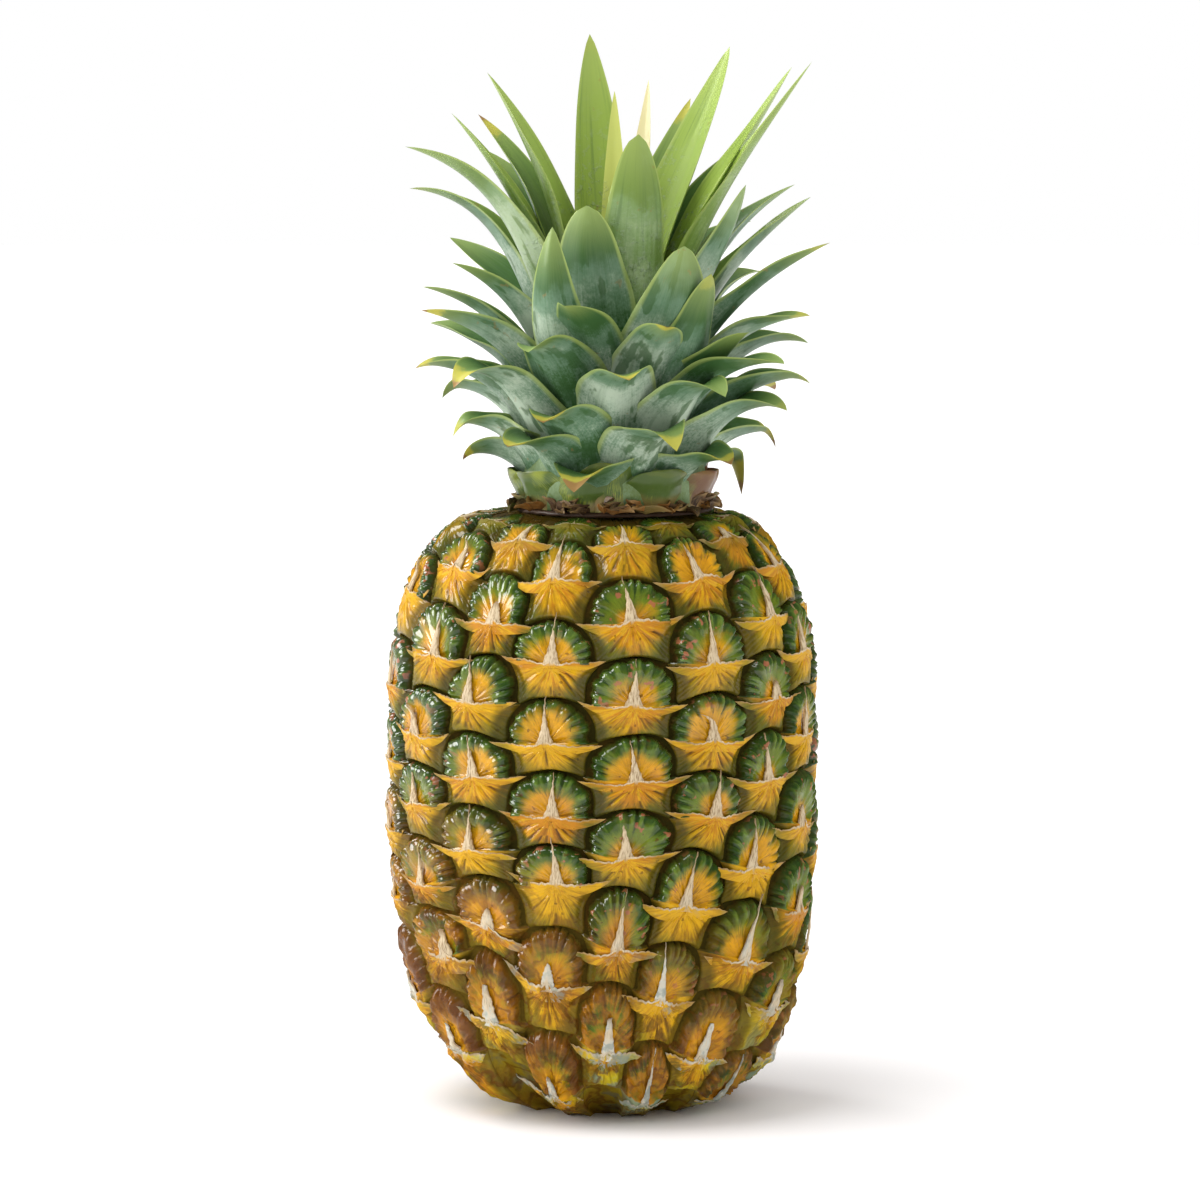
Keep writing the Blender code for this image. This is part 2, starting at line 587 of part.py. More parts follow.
def make_collar():
    """The low ring of dry bracts round the crown's foot."""
    material = plain_material("dry_bract", DRY_BROWN, 0.7)
    middle = Vector((CROWN_AXIS_X, 0.0, FRUIT_HEIGHT))
    points, faces = turned_ring(COLLAR_SECTION, COLLAR_SIDES, middle)
    collar = mesh_object("collar", points, faces, material)
    bracts = new_collection("collar_bracts")
    for number in range(COLLAR_BRACTS):
        azimuth = 360.0 * (number + COLLAR_STRAY_TURN * wander(number, 11)) / COLLAR_BRACTS
        angle = math.radians(azimuth)
        outward = Vector((math.sin(angle), -math.cos(angle), 0.0))
        across = Vector((math.cos(angle), math.sin(angle), 0.0))
        length = COLLAR_BRACT_LENGTH * (1.0 + COLLAR_STRAY_LENGTH * wander(number, 12))
        half = COLLAR_BRACT_HALF_WIDTH * (1.0 + COLLAR_STRAY_WIDTH * wander(number, 13))
        rise = COLLAR_BRACT_CLIMB * (1.0 + COLLAR_STRAY_CLIMB * wander(number, 14))
        aside = half * COLLAR_STRAY_TIP * wander(number, 15)
        root = middle + outward * COLLAR_BRACT_ROOT + Vector((0.0, 0.0, COLLAR_BRACT_THICKNESS))
        tip = root + outward * length + Vector((0.0, 0.0, rise)) + across * aside
        midrib = Vector((0.0, 0.0, COLLAR_BRACT_THICKNESS * COLLAR_BRACT_MIDRIB))
        corners = [root - across * half, root - midrib, root + across * half, root + midrib, tip]
        sides = [[0, 1, 4], [1, 2, 4], [2, 3, 4], [3, 0, 4], [3, 2, 1, 0]]
        mesh_object(f"collar_bract_{number}", corners, sides, material, bracts)
    return joined(collar, bracts)


def make_crown():
    """The crown's short stem with all its leaves."""
    material = plain_material("crown_leaf", LEAF_GREEN, 0.5)
    middle = Vector((CROWN_AXIS_X, 0.0, FRUIT_HEIGHT))
    rings = [(max(height, GAP), radius) for height, radius in CROWN_STEM]
    points, faces = turned_solid(rings, STEM_SIDES, middle)
    crown = mesh_object("crown", points, faces, material)
    leaves = new_collection("crown_leaves")
    for number, leaf in enumerate(crown_leaves()):
        points, faces = leaf_mesh(*leaf)
        mesh_object(f"crown_leaf_{number}", points, faces, material, leaves)
    return joined(crown, leaves)


def main():
    """Clears the scene and makes the pineapple."""
    for old in list(bpy.data.objects):
        bpy.data.objects.remove(old)
    make_fruit()
    make_stalk()
    make_collar()
    make_crown()


main()
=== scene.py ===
"""The looks of a whole pineapple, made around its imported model. Metres, +Z up, its front facing -Y.

The rind is made of eyes that Geometry Nodes wrap on the fruit's outline, and the papery spines are
wrapped on the same eyes. One leaf tree grows every leaf of the crown, the short ones of its foot and
the collar's bracts.
"""

import logging
import math
from dataclasses import dataclass, field
from enum import Enum

import bmesh
import bpy
import numpy as np
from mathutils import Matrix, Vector


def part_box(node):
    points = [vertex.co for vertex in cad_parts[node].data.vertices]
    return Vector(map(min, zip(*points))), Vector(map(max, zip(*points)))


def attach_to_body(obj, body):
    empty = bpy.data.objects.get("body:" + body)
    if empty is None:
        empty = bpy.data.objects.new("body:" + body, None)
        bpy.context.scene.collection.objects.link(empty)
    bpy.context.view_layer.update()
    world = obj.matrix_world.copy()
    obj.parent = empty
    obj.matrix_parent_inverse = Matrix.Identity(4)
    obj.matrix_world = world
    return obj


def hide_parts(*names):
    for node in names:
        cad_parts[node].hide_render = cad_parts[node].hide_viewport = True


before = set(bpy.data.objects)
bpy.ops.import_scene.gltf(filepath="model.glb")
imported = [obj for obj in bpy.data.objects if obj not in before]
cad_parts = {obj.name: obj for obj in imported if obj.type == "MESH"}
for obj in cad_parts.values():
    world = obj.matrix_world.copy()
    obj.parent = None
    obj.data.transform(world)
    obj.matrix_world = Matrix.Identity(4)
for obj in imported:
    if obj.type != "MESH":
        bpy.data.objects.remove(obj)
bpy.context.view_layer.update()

MM = 0.001
SHARP_ANGLE = math.radians(50.0)
FLAT_SCALE = 0.01
GROOVE_MARK = (0.0, 0.4, -0.6)
GROOVE_BODY = (0.9, 0.0, 0.0)
WANDER_WEIGHTS = (12.9898, 78.233, 37.719)
WANDER_SCALE = 43758.5453
DRAWN_TURN = 6.28
CORNER_STRAYS = tuple(f"stray_{corner}" for corner in range(6))
Colour = tuple[float, float, float]
Pair = tuple[float, float]
Row = tuple[float, ...]
Rings = tuple[Pair, ...]
Sheet = tuple[np.ndarray, np.ndarray, np.ndarray]
Columns = dict[str, np.ndarray]
Draws = np.random.Generator
Piece = bpy.types.Object
Material = bpy.types.Material

logging.basicConfig(level=logging.INFO, format="%(message)s")
log = logging.getLogger("pineapple")


def smooth(value: float) -> float:
    """An even rise from 0 to 1, held at both ends."""
    value = min(max(value, 0.0), 1.0)
    return value * value * (3.0 - 2.0 * value)


def smooth_all(values: np.ndarray, low: float, high: float) -> np.ndarray:
    """The same rise for an array."""
    share = np.clip((values - low) / (high - low), 0.0, 1.0)
    return share * share * (3.0 - 2.0 * share)


def wander(*keys: float) -> float:
    """A fixed value from -1 to 1 for these numbers, the same on each run."""
    turned = math.sin(sum(key * weight for key, weight in zip(keys, WANDER_WEIGHTS))) * WANDER_SCALE
    return 2.0 * (turned - math.floor(turned)) - 1.0


def between(values: Row, share: float) -> float:
    """The value this far along a row of evenly spaced ones."""
    return float(np.interp(share, np.linspace(0.0, 1.0, len(values)), values))


class Term:
    """A socket in a node tree. Each operator used on it adds the node that works it out."""

    def __init__(self, tree: "Tree", socket: bpy.types.NodeSocket) -> None:
        """Keeps the socket and its tree."""
        self.tree = tree
        self.socket = socket

    def __add__(self, other: "Term | float") -> "Term":
        """Adds."""
        return self.tree.math("ADD", self, other)

    def __radd__(self, other: float) -> "Term":
        """Adds, with a plain number on the left."""
        return self.tree.math("ADD", other, self)

    def __sub__(self, other: "Term | float") -> "Term":
        """Subtracts."""
        return self.tree.math("SUBTRACT", self, other)

    def __rsub__(self, other: float) -> "Term":
        """Subtracts from a plain number."""
        return self.tree.math("SUBTRACT", other, self)

    def __mul__(self, other: "Term | float") -> "Term":
        """Multiplies."""
        return self.tree.math("MULTIPLY", self, other)

    def __rmul__(self, other: float) -> "Term":
        """Multiplies, with a plain number on the left."""
        return self.tree.math("MULTIPLY", other, self)

    def __truediv__(self, other: "Term | float") -> "Term":
        """Divides."""
        return self.tree.math("DIVIDE", self, other)

    def __pow__(self, other: "Term | float") -> "Term":
        """Raises to a power."""
        return self.tree.math("POWER", self, other)

    def __abs__(self) -> "Term":
        """Drops the sign."""
        return self.tree.math("ABSOLUTE", self)


class Tree:
    """Adds nodes to one shader or geometry tree."""

    def __init__(self, nodes: bpy.types.NodeTree) -> None:
        """Keeps the tree that the nodes go into."""
        self.nodes = nodes

    def node(self, kind: str, settings: dict | None = None, inputs: dict | None = None) -> bpy.types.Node:
        """Adds one node.

        Args:
            kind: The node's type.
            settings: Its own settings, set first.
            inputs: A value or a Term for each socket, by name or number.

        Returns:
            The node.
        """
        made = self.nodes.nodes.new(kind)
        for name, value in (settings or {}).items():
            setattr(made, name, value)
        for key, value in (inputs or {}).items():
            if isinstance(value, Term):
                self.nodes.links.new(value.socket, made.inputs[key])
            else:
                made.inputs[key].default_value = value
        return made

    def term(self, kind: str, settings: dict | None = None, inputs: dict | None = None,
             output: int | str = 0) -> Term:
        """Adds one node and gives one of its outputs."""
        return Term(self, self.node(kind, settings, inputs).outputs[output])

    def math(self, operation: str, *values: Term | float) -> Term:
        """Adds a Math node."""
        return self.term("ShaderNodeMath", {"operation": operation}, dict(enumerate(values)))

    def vector(self, operation: str, *values: Term | tuple, scale: Term | float | None = None,
               output: int = 0) -> Term:
        """Adds a Vector Math node.

        Args:
            operation: Its operation.
            values: Its vector inputs in order.
            scale: The factor of the Scale operation.
            output: 0 for a vector, 1 for a number.

        Returns:
            Its result.
        """
        inputs = dict(enumerate(values))
        if scale is not None:
            inputs["Scale"] = scale
        return self.term("ShaderNodeVectorMath", {"operation": operation}, inputs, output)

    def split(self, vector: Term) -> tuple[Term, Term, Term]:
        """Takes a vector apart."""
        parts = self.node("ShaderNodeSeparateXYZ", None, {0: vector})
        return tuple(Term(self, socket) for socket in parts.outputs)

    def join(self, x: Term | float, y: Term | float, z: Term | float) -> Term:
        """Makes a vector."""
        return self.term("ShaderNodeCombineXYZ", None, {0: x, 1: y, 2: z})

    def rise(self, value: Term, low: Term | float, high: Term | float) -> Term:
        """A smooth rise from 0 at low to 1 at high, or a fall where low is the higher."""
        return self.term("ShaderNodeMapRange", {"interpolation_type": "SMOOTHSTEP"},
                         {"Value": value, "From Min": low, "From Max": high})

    def bell(self, value: Term, middle: float, width: float) -> Term:
        """A smooth hill of height 1."""
        return self.rise(abs(value - middle), width, 0.0)

    def noise(self, place: Term, scale: float, detail: float = 2.0, roughness: float = 0.5,
              output: int = 0) -> Term:
        """Adds a Noise Texture."""
        inputs = {"Vector": place, "Scale": scale, "Detail": detail, "Roughness": roughness}
        return self.term("ShaderNodeTexNoise", None, inputs, output)


class ShaderTree(Tree):
    """A material's tree."""

    def __init__(self, name: str) -> None:
        """Makes the material and its Principled shader."""
        self.material = bpy.data.materials.new(name)
        self.material.use_nodes = True
        super().__init__(self.material.node_tree)
        self.shader = self.nodes.nodes["Principled BSDF"]

    def parts(self, name: str) -> tuple[Term, Term, Term]:
        """The three parts of a piece's own vector attribute."""
        return self.split(self.term("ShaderNodeAttribute", {"attribute_name": name}, None, "Vector"))

    def place(self) -> Term:
        """The place in the object's own coordinates."""
        return self.term("ShaderNodeTexCoord", None, None, "Object")

    def mix(self, factor: Term | float, first: Term | Colour, second: Term | Colour,
            blend: str = "MIX") -> Term:
        """Mixes two colours.

        Args:
            factor: How much of the second.
            first: The first colour.
            second: The second colour.
            blend: How they are mixed.

        Returns:
            The mixed colour.
        """
        inputs = {0: factor}
        for key, colour in ((6, first), (7, second)):
            inputs[key] = colour if isinstance(colour, Term) else (*colour, 1.0)
        return self.term("ShaderNodeMix", {"data_type": "RGBA", "blend_type": blend}, inputs, 2)

    def layers(self, colour: Term | Colour, *coats: tuple[Term | float, Term | Colour]) -> Term:
        """Lays colours over a first one.

        Args:
            colour: The first colour.
            coats: How much of each further colour shows, and the colour, from the bottom up.

        Returns:
            The mixed colour.
        """
        for factor, coat in coats:
            colour = self.mix(factor, colour, coat)
        return colour

    def rays(self, across: Term, up: Term, lift: float, shift: Term) -> Term:
        """Where to read a noise that runs out in rays from the middle of an eye.

        Args:
            across: How far across its eye the place is.
            up: How far up its eye it is.
            lift: How blunt the rays start.
            shift: Where this eye's own part of the noise lies.

        Returns:
            The place.
        """
        ray = self.vector("NORMALIZE", self.join(across * 1.2, up, lift))
        return self.vector("ADD", self.vector("SCALE", ray, scale=2.2), shift)

    def finish(self, colour: Term, roughness: Term | float, relief: Term, depth: float = 0.0010,
               coat: Term | float = 0.0, coat_roughness: float = 0.1,
               specular: float = 0.3) -> Material:
        """Joins the parts to the shader.

        Args:
            colour: The base colour.
            roughness: The roughness.
            relief: The height for a Bump node.
            depth: How deep that relief is, in metres.
            coat: The weight of the clear coat.
            coat_roughness: The roughness of the clear coat.
            specular: The level of the plain reflection.

        Returns:
            The material.
        """
        self.nodes.links.new(colour.socket, self.shader.inputs["Base Color"])
        for name, value in (("Roughness", roughness), ("Coat Weight", coat)):
            if isinstance(value, Term):
                self.nodes.links.new(value.socket, self.shader.inputs[name])
            else:
                self.shader.inputs[name].default_value = value
        self.shader.inputs["Coat Roughness"].default_value = coat_roughness
        self.shader.inputs["Specular IOR Level"].default_value = specular
        bump = self.term("ShaderNodeBump", None, {"Height": relief, "Distance": depth, "Strength": 1.0})
        self.nodes.links.new(bump.socket, self.shader.inputs["Normal"])
        return self.material


class FieldTree(Tree):
    """A Geometry Nodes tree with named inputs."""

    def __init__(self, name: str) -> None:
        """Makes the tree with its geometry input and output."""
        super().__init__(bpy.data.node_groups.new(name, "GeometryNodeTree"))
        face = self.nodes.interface
        face.new_socket("Geometry", in_out="INPUT", socket_type="NodeSocketGeometry")
        face.new_socket("Geometry", in_out="OUTPUT", socket_type="NodeSocketGeometry")
        self.entry = self.nodes.nodes.new("NodeGroupInput")
        self.exit = self.nodes.nodes.new("NodeGroupOutput")
        self.values: dict[str, object] = {}

    def size(self, name: str, value: object, kind: str = "Float") -> Term:
        """Adds a named input.

        Args:
            name: Its name.
            value: What the modifier sets it to.
            kind: The kind of its socket.

        Returns:
            Its Term in the tree.
        """
        made = self.nodes.interface.new_socket(name, in_out="INPUT", socket_type=f"NodeSocket{kind}")
        self.values[made.identifier] = value
        return Term(self, self.entry.outputs[name])

    def own(self, name: str, kind: str = "FLOAT") -> Term:
        """A named attribute of the geometry."""
        return self.term("GeometryNodeInputNamedAttribute", {"data_type": kind}, {"Name": name})

    def direction(self, angle: Term) -> tuple[Term, Term]:
        """How far east and south a step of 1 goes at an angle in degrees from the front."""
        turned = angle * (math.pi / 180.0)
        return self.math("SINE", turned), self.math("COSINE", turned)

    def start(self) -> Term:
        """The geometry that comes in."""
        return Term(self, self.entry.outputs["Geometry"])

    def keep(self, geometry: Term, name: str, value: Term) -> Term:
        """Stores a vector on the face corners, where it may jump from one eye to the next."""
        settings = {"data_type": "FLOAT_VECTOR", "domain": "CORNER"}
        return self.term("GeometryNodeStoreNamedAttribute", settings,
                         {"Geometry": geometry, "Name": name, "Value": value})

    def close(self, geometry: Term, material: Term) -> None:
        """Ends the tree with real geometry and its material.

        Args:
            geometry: The geometry.
            material: The material input.
        """
        real = self.term("GeometryNodeRealizeInstances", None, {"Geometry": geometry})
        dressed = self.node("GeometryNodeSetMaterial", None, {"Geometry": real, "Material": material})
        self.nodes.links.new(dressed.outputs[0], self.exit.inputs[0])

    def grow(self, name: str, columns: Columns) -> Piece:
        """Runs the tree on points and keeps the result as a plain mesh object.

        Args:
            name: The object's name.
            columns: Each point attribute's values, one row a point.

        Returns:
            The object, with no modifier left.
        """
        base = bpy.data.meshes.new(f"{name}_points")
        base.vertices.add(len(next(iter(columns.values()))))
        add_attributes(base, columns)
        holder = bpy.data.objects.new(f"{name}_points", base)
        work = holder.modifiers.new("Grow", "NODES")
        work.node_group = self.nodes
        for identifier, value in self.values.items():
            work[identifier] = value
        bpy.context.scene.collection.objects.link(holder)
        graph = bpy.context.evaluated_depsgraph_get()
        mesh = bpy.data.meshes.new_from_object(holder.evaluated_get(graph))
        mesh.name = name
        bpy.data.objects.remove(holder)
        made = bpy.data.objects.new(name, mesh)
        bpy.context.scene.collection.objects.link(made)
        return made


def add_attributes(mesh: bpy.types.Mesh, columns: Columns) -> None:
    """Adds point attributes to a mesh.

    Args:
        mesh: The mesh.
        columns: Each attribute's values.
    """
    for title, values in columns.items():
        kind, key, number = "FLOAT", "value", np.float32
        if values.ndim == 2:
            kind, key = "FLOAT_VECTOR", "vector"
        elif values.dtype.kind == "i":
            kind, number = "INT", np.int32
        made = mesh.attributes.new(title, kind, "POINT")
        made.data.foreach_set(key, values.astype(number).ravel())


def columns_of(rows: list[dict[str, object]]) -> Columns:
    """The same values column by column, as the attributes of points."""
    return {title: np.array([row[title] for row in rows]) for title in rows[0]}


def any_phase(draw: Draws) -> float:
    """A phase drawn from a whole turn."""
    return draw.uniform(0, DRAWN_TURN)


def in_rows(*grids: np.ndarray) -> np.ndarray:
    """Grids of the same shape side by side, one row for each of their points."""
    return np.stack(np.broadcast_arrays(*grids), axis=-1).reshape(-1, len(grids))


def pattern_object(name: str, points: np.ndarray, faces: list[list[int]],
                   columns: Columns) -> Piece:
    """A small flat object outside the scene, which a tree copies and gives its real place and size.

    Args:
        name: The object's name.
        points: Its points.
        faces: Its faces.
        columns: Its point attributes.

    Returns:
        The object.
    """
    mesh = bpy.data.meshes.new(name)
    mesh.from_pydata((points * FLAT_SCALE).tolist(), [], faces)
    add_attributes(mesh, columns)
    return bpy.data.objects.new(name, mesh)


def slab_faces(rows: int, columns: int) -> list[list[int]]:
    """The faces of a closed thin sheet: its front grid, its back grid and the strip round them.

    Args:
        rows: Points along.
        columns: Points across.

    Returns:
        The faces, for the front's points followed by the back's.
    """
    back = rows * columns
    faces = []
    for row in range(rows - 1):
        for column in range(columns - 1):
            here = row * columns + column
            faces.append([here, here + 1, here + columns + 1, here + columns])
            faces.append([back + here + columns, back + here + columns + 1, back + here + 1, back + here])
    edge = [column for column in range(columns)]
    edge += [row * columns + columns - 1 for row in range(1, rows)]
    edge += [(rows - 1) * columns + column for column in range(columns - 2, -1, -1)]
    edge += [row * columns for row in range(rows - 2, 0, -1)]
    for here, there in zip(edge, edge[1:] + edge[:1]):
        faces.append([there, here, back + here, back + there])
    return faces


@dataclass(frozen=True)
class Drift:
    """How low rows drift off their level: how far, and where it starts, is full, starts to fade and ends."""

    amount: float
    angles: tuple[float, float, float, float]
    arcs: tuple[float, float, float, float]


# The eyes that grew furthest off the even lattice, by row and place: degrees round the fruit and metres up
# its outline, rounded from a fit of the lattice to spine roots that were read off the photo
STRAY_EYES = {
    (0, 0): (-4.0, 0.001), (0, 7): (0.0, 0.005), (1, 1): (-4.0, 0.002), (2, 0): (1.0, 0.003),
    (2, 1): (-5.0, 0.000), (2, 7): (10.0, -0.001), (3, 7): (5.0, -0.001), (4, 0): (3.0, 0.004),
    (4, 1): (-4.0, -0.001), (4, 7): (2.0, -0.005), (5, 1): (-6.0, -0.002), (6, 2): (-8.0, -0.003),
    (7, 1): (-4.0, -0.001), (8, 2): (-6.0, -0.002), (10, 2): (-6.0, 0.000), (10, 7): (8.0, 0.001),
    (11, 6): (5.0, 0.005), (11, 7): (5.0, 0.000), (12, 2): (-6.0, 0.001), (12, 7): (7.0, 0.002),
    (13, 6): (-5.0, 0.005), (13, 7): (5.0, 0.000),
}


@dataclass(frozen=True)
class FruitForm:
    """The fruit's outline and the lattice of its eyes, in metres and degrees."""

    height: float
    groove_radius: float = 0.0562
    widest_height: float = 0.092
    shoulder_rise: float = 0.003
    base_bottom: float = -0.005
    shoulder_powers: Pair = (4.2, 2.4)
    base_powers: Pair = (3.0, 2.5)
    lean: float = -0.0019
    lean_height: float = 0.070
    eyes_per_row: int = 8
    row_arcs: Row = (
        0.0, 0.0150, 0.0320, 0.0490, 0.0620, 0.0755, 0.0870, 0.0975, 0.1070, 0.1172, 0.1276, 0.1376,
        0.1486, 0.1597, 0.1715, 0.1803, 0.1865)
    front_angle: float = -14.1
    side_corner: float = 13.4
    crowding: float = -23.0
    crowding_height: float = 0.100
    crowding_angles: tuple[float, float, float] = (-45.0, 70.0, 315.0)
    drifts: tuple[Drift, ...] = (
        Drift(0.0090, (-12.0, -40.0, -90.0, -200.0), (0.0, 0.020, 0.050, 0.095)),
        Drift(-0.0085, (8.0, 85.0, 110.0, 200.0), (0.0, 0.030, 0.070, 0.120)))
    eye_wander: Pair = (1.0, 0.0006)
    corner_wander: Pair = (1.0, 0.0007)
    swell_wander: float = 0.12
    low_corner_lift: float = 0.0030
    low_corner_end: float = 0.1000
    even_ends: float = 0.012
    base_fade: float = 0.0080
    neck_fade: float = 0.0110
    foot_radius: float = 0.0210
    stalk_hole_radius: float = 0.0134
    stalk_hole_depth: float = 0.0089
    top_flat_radius: float = 0.0225

    @property
    def rows(self) -> int:
        """How many rows of eyes there are."""
        return len(self.row_arcs) - 2

    @property
    def top_corner(self) -> float:
        """How far out an eye's upper corner is, as a share of its side corner."""
        return (180.0 / self.eyes_per_row - self.side_corner) / self.side_corner

    def radius(self, height: float) -> float:
        """The radius at the floor of the grooves.

        Args:
            height: The height over the base.

        Returns:
            The radius there.
        """
        if height >= self.widest_height:
            share = (height - self.widest_height) / (self.height + self.shoulder_rise - self.widest_height)
            power, root = self.shoulder_powers
        else:
            share = (self.widest_height - height) / (self.widest_height - self.base_bottom)
            power, root = self.base_powers
        return self.groove_radius * (1.0 - share**power) ** (1.0 / root)

    def outline(self, count: int = 400) -> Piece:
        """The outline from the base to the neck, as a curve of radius along X and height along Z.

        Args:
            count: How many points it has.

        Returns:
            The curve object, outside the scene.
        """
        curve = bpy.data.curves.new("fruit_outline", "CURVE")
        curve.dimensions = "3D"
        spline = curve.splines.new("POLY")
        spline.points.add(count - 1)
        for point, height in zip(spline.points, np.linspace(0.0, self.height, count)):
            point.co = (self.radius(float(height)), 0.0, float(height), 1.0)
        return bpy.data.objects.new("fruit_outline", curve)

    def stray(self, row: int, place: int) -> np.ndarray:
        """How far an eye is off the even lattice.

        Args:
            row: Its row.
            place: Its place in the row.

        Returns:
            Degrees round the fruit, metres up its outline and 0.
        """
        place %= self.eyes_per_row
        if not 0 <= row < self.rows:
            return np.zeros(3)
        turn, arc = self.eye_wander
        usual = (turn * wander(row, place, 51), arc * wander(row, place, 61))
        return np.array([*STRAY_EYES.get((row, place), usual), 0.0])

    def corner_stray(self, row: int, place: int, side: int) -> np.ndarray:
        """How far a side corner of an eye is off the even lattice: about as far as the three eyes round it.

        Args:
            row: The eye's row.
            place: Its place in the row.
            side: 1 for its right corner, -1 for its left.

        Returns:
            Degrees round the fruit, metres up its outline and 0.
        """
        place %= self.eyes_per_row
        if not 0 <= row < self.rows:
            return np.zeros(3)
        beside = place + row % 2 + min(side, 0)
        mean = (self.stray(row, place) + self.stray(row - 1, beside) + self.stray(row + 1, beside)) / 3.0
        turn, arc = self.corner_wander
        lowness = (self.low_corner_end - self.row_arcs[row + 1]) / self.low_corner_end
        climb = arc * wander(row, place, side + 5) + self.low_corner_lift * smooth(lowness)
        return mean + np.array([turn * wander(row, place, side), climb, 0.0])

    def border_strays(self, row: int, place: int) -> list[np.ndarray]:
        """How far each of an eye's six corners is off the even lattice, anticlockwise from the right one.

        Args:
            row: The eye's row.
            place: Its place in the row.

        Returns:
            One value for each corner.
        """
        right = place + row % 2
        left = right - 1
        corners = ((row, place, 1), (row + 1, right, -1), (row + 1, left, 1),
                   (row, place, -1), (row - 1, left, 1), (row - 1, right, -1))
        return [self.corner_stray(*corner) for corner in corners]

    def eyes(self, first: int, last: int, variants: int) -> Columns:
        """The eyes of some rows, as the attributes of points.

        Args:
            first: The first row.
            last: The last row.
            variants: How many shapes there are to draw from.

        Returns:
            Each attribute's values.
        """
        table = []
        for row in range(first, last + 1):
            below, here, above = self.row_arcs[row:row + 3]
            for place in range(self.eyes_per_row):
                turn = self.front_angle + (place + 0.5 * (row % 2)) * 360.0 / self.eyes_per_row
                pick, chance, chance_b = (wander(row, place, key) * 0.5 + 0.5 for key in (21, 31, 41))
                table.append({
                    "turn": turn, "arc": here, "up": above - here, "down": here - below,
                    "swell": 1.0 + self.swell_wander * wander(row, place, 9),
                    "variant": int(pick * variants) % variants,
                    "lot": (chance, row / (self.rows - 1), chance_b), "stray": self.stray(row, place),
                    **dict(zip(CORNER_STRAYS, self.border_strays(row, place)))})
        return columns_of(table)


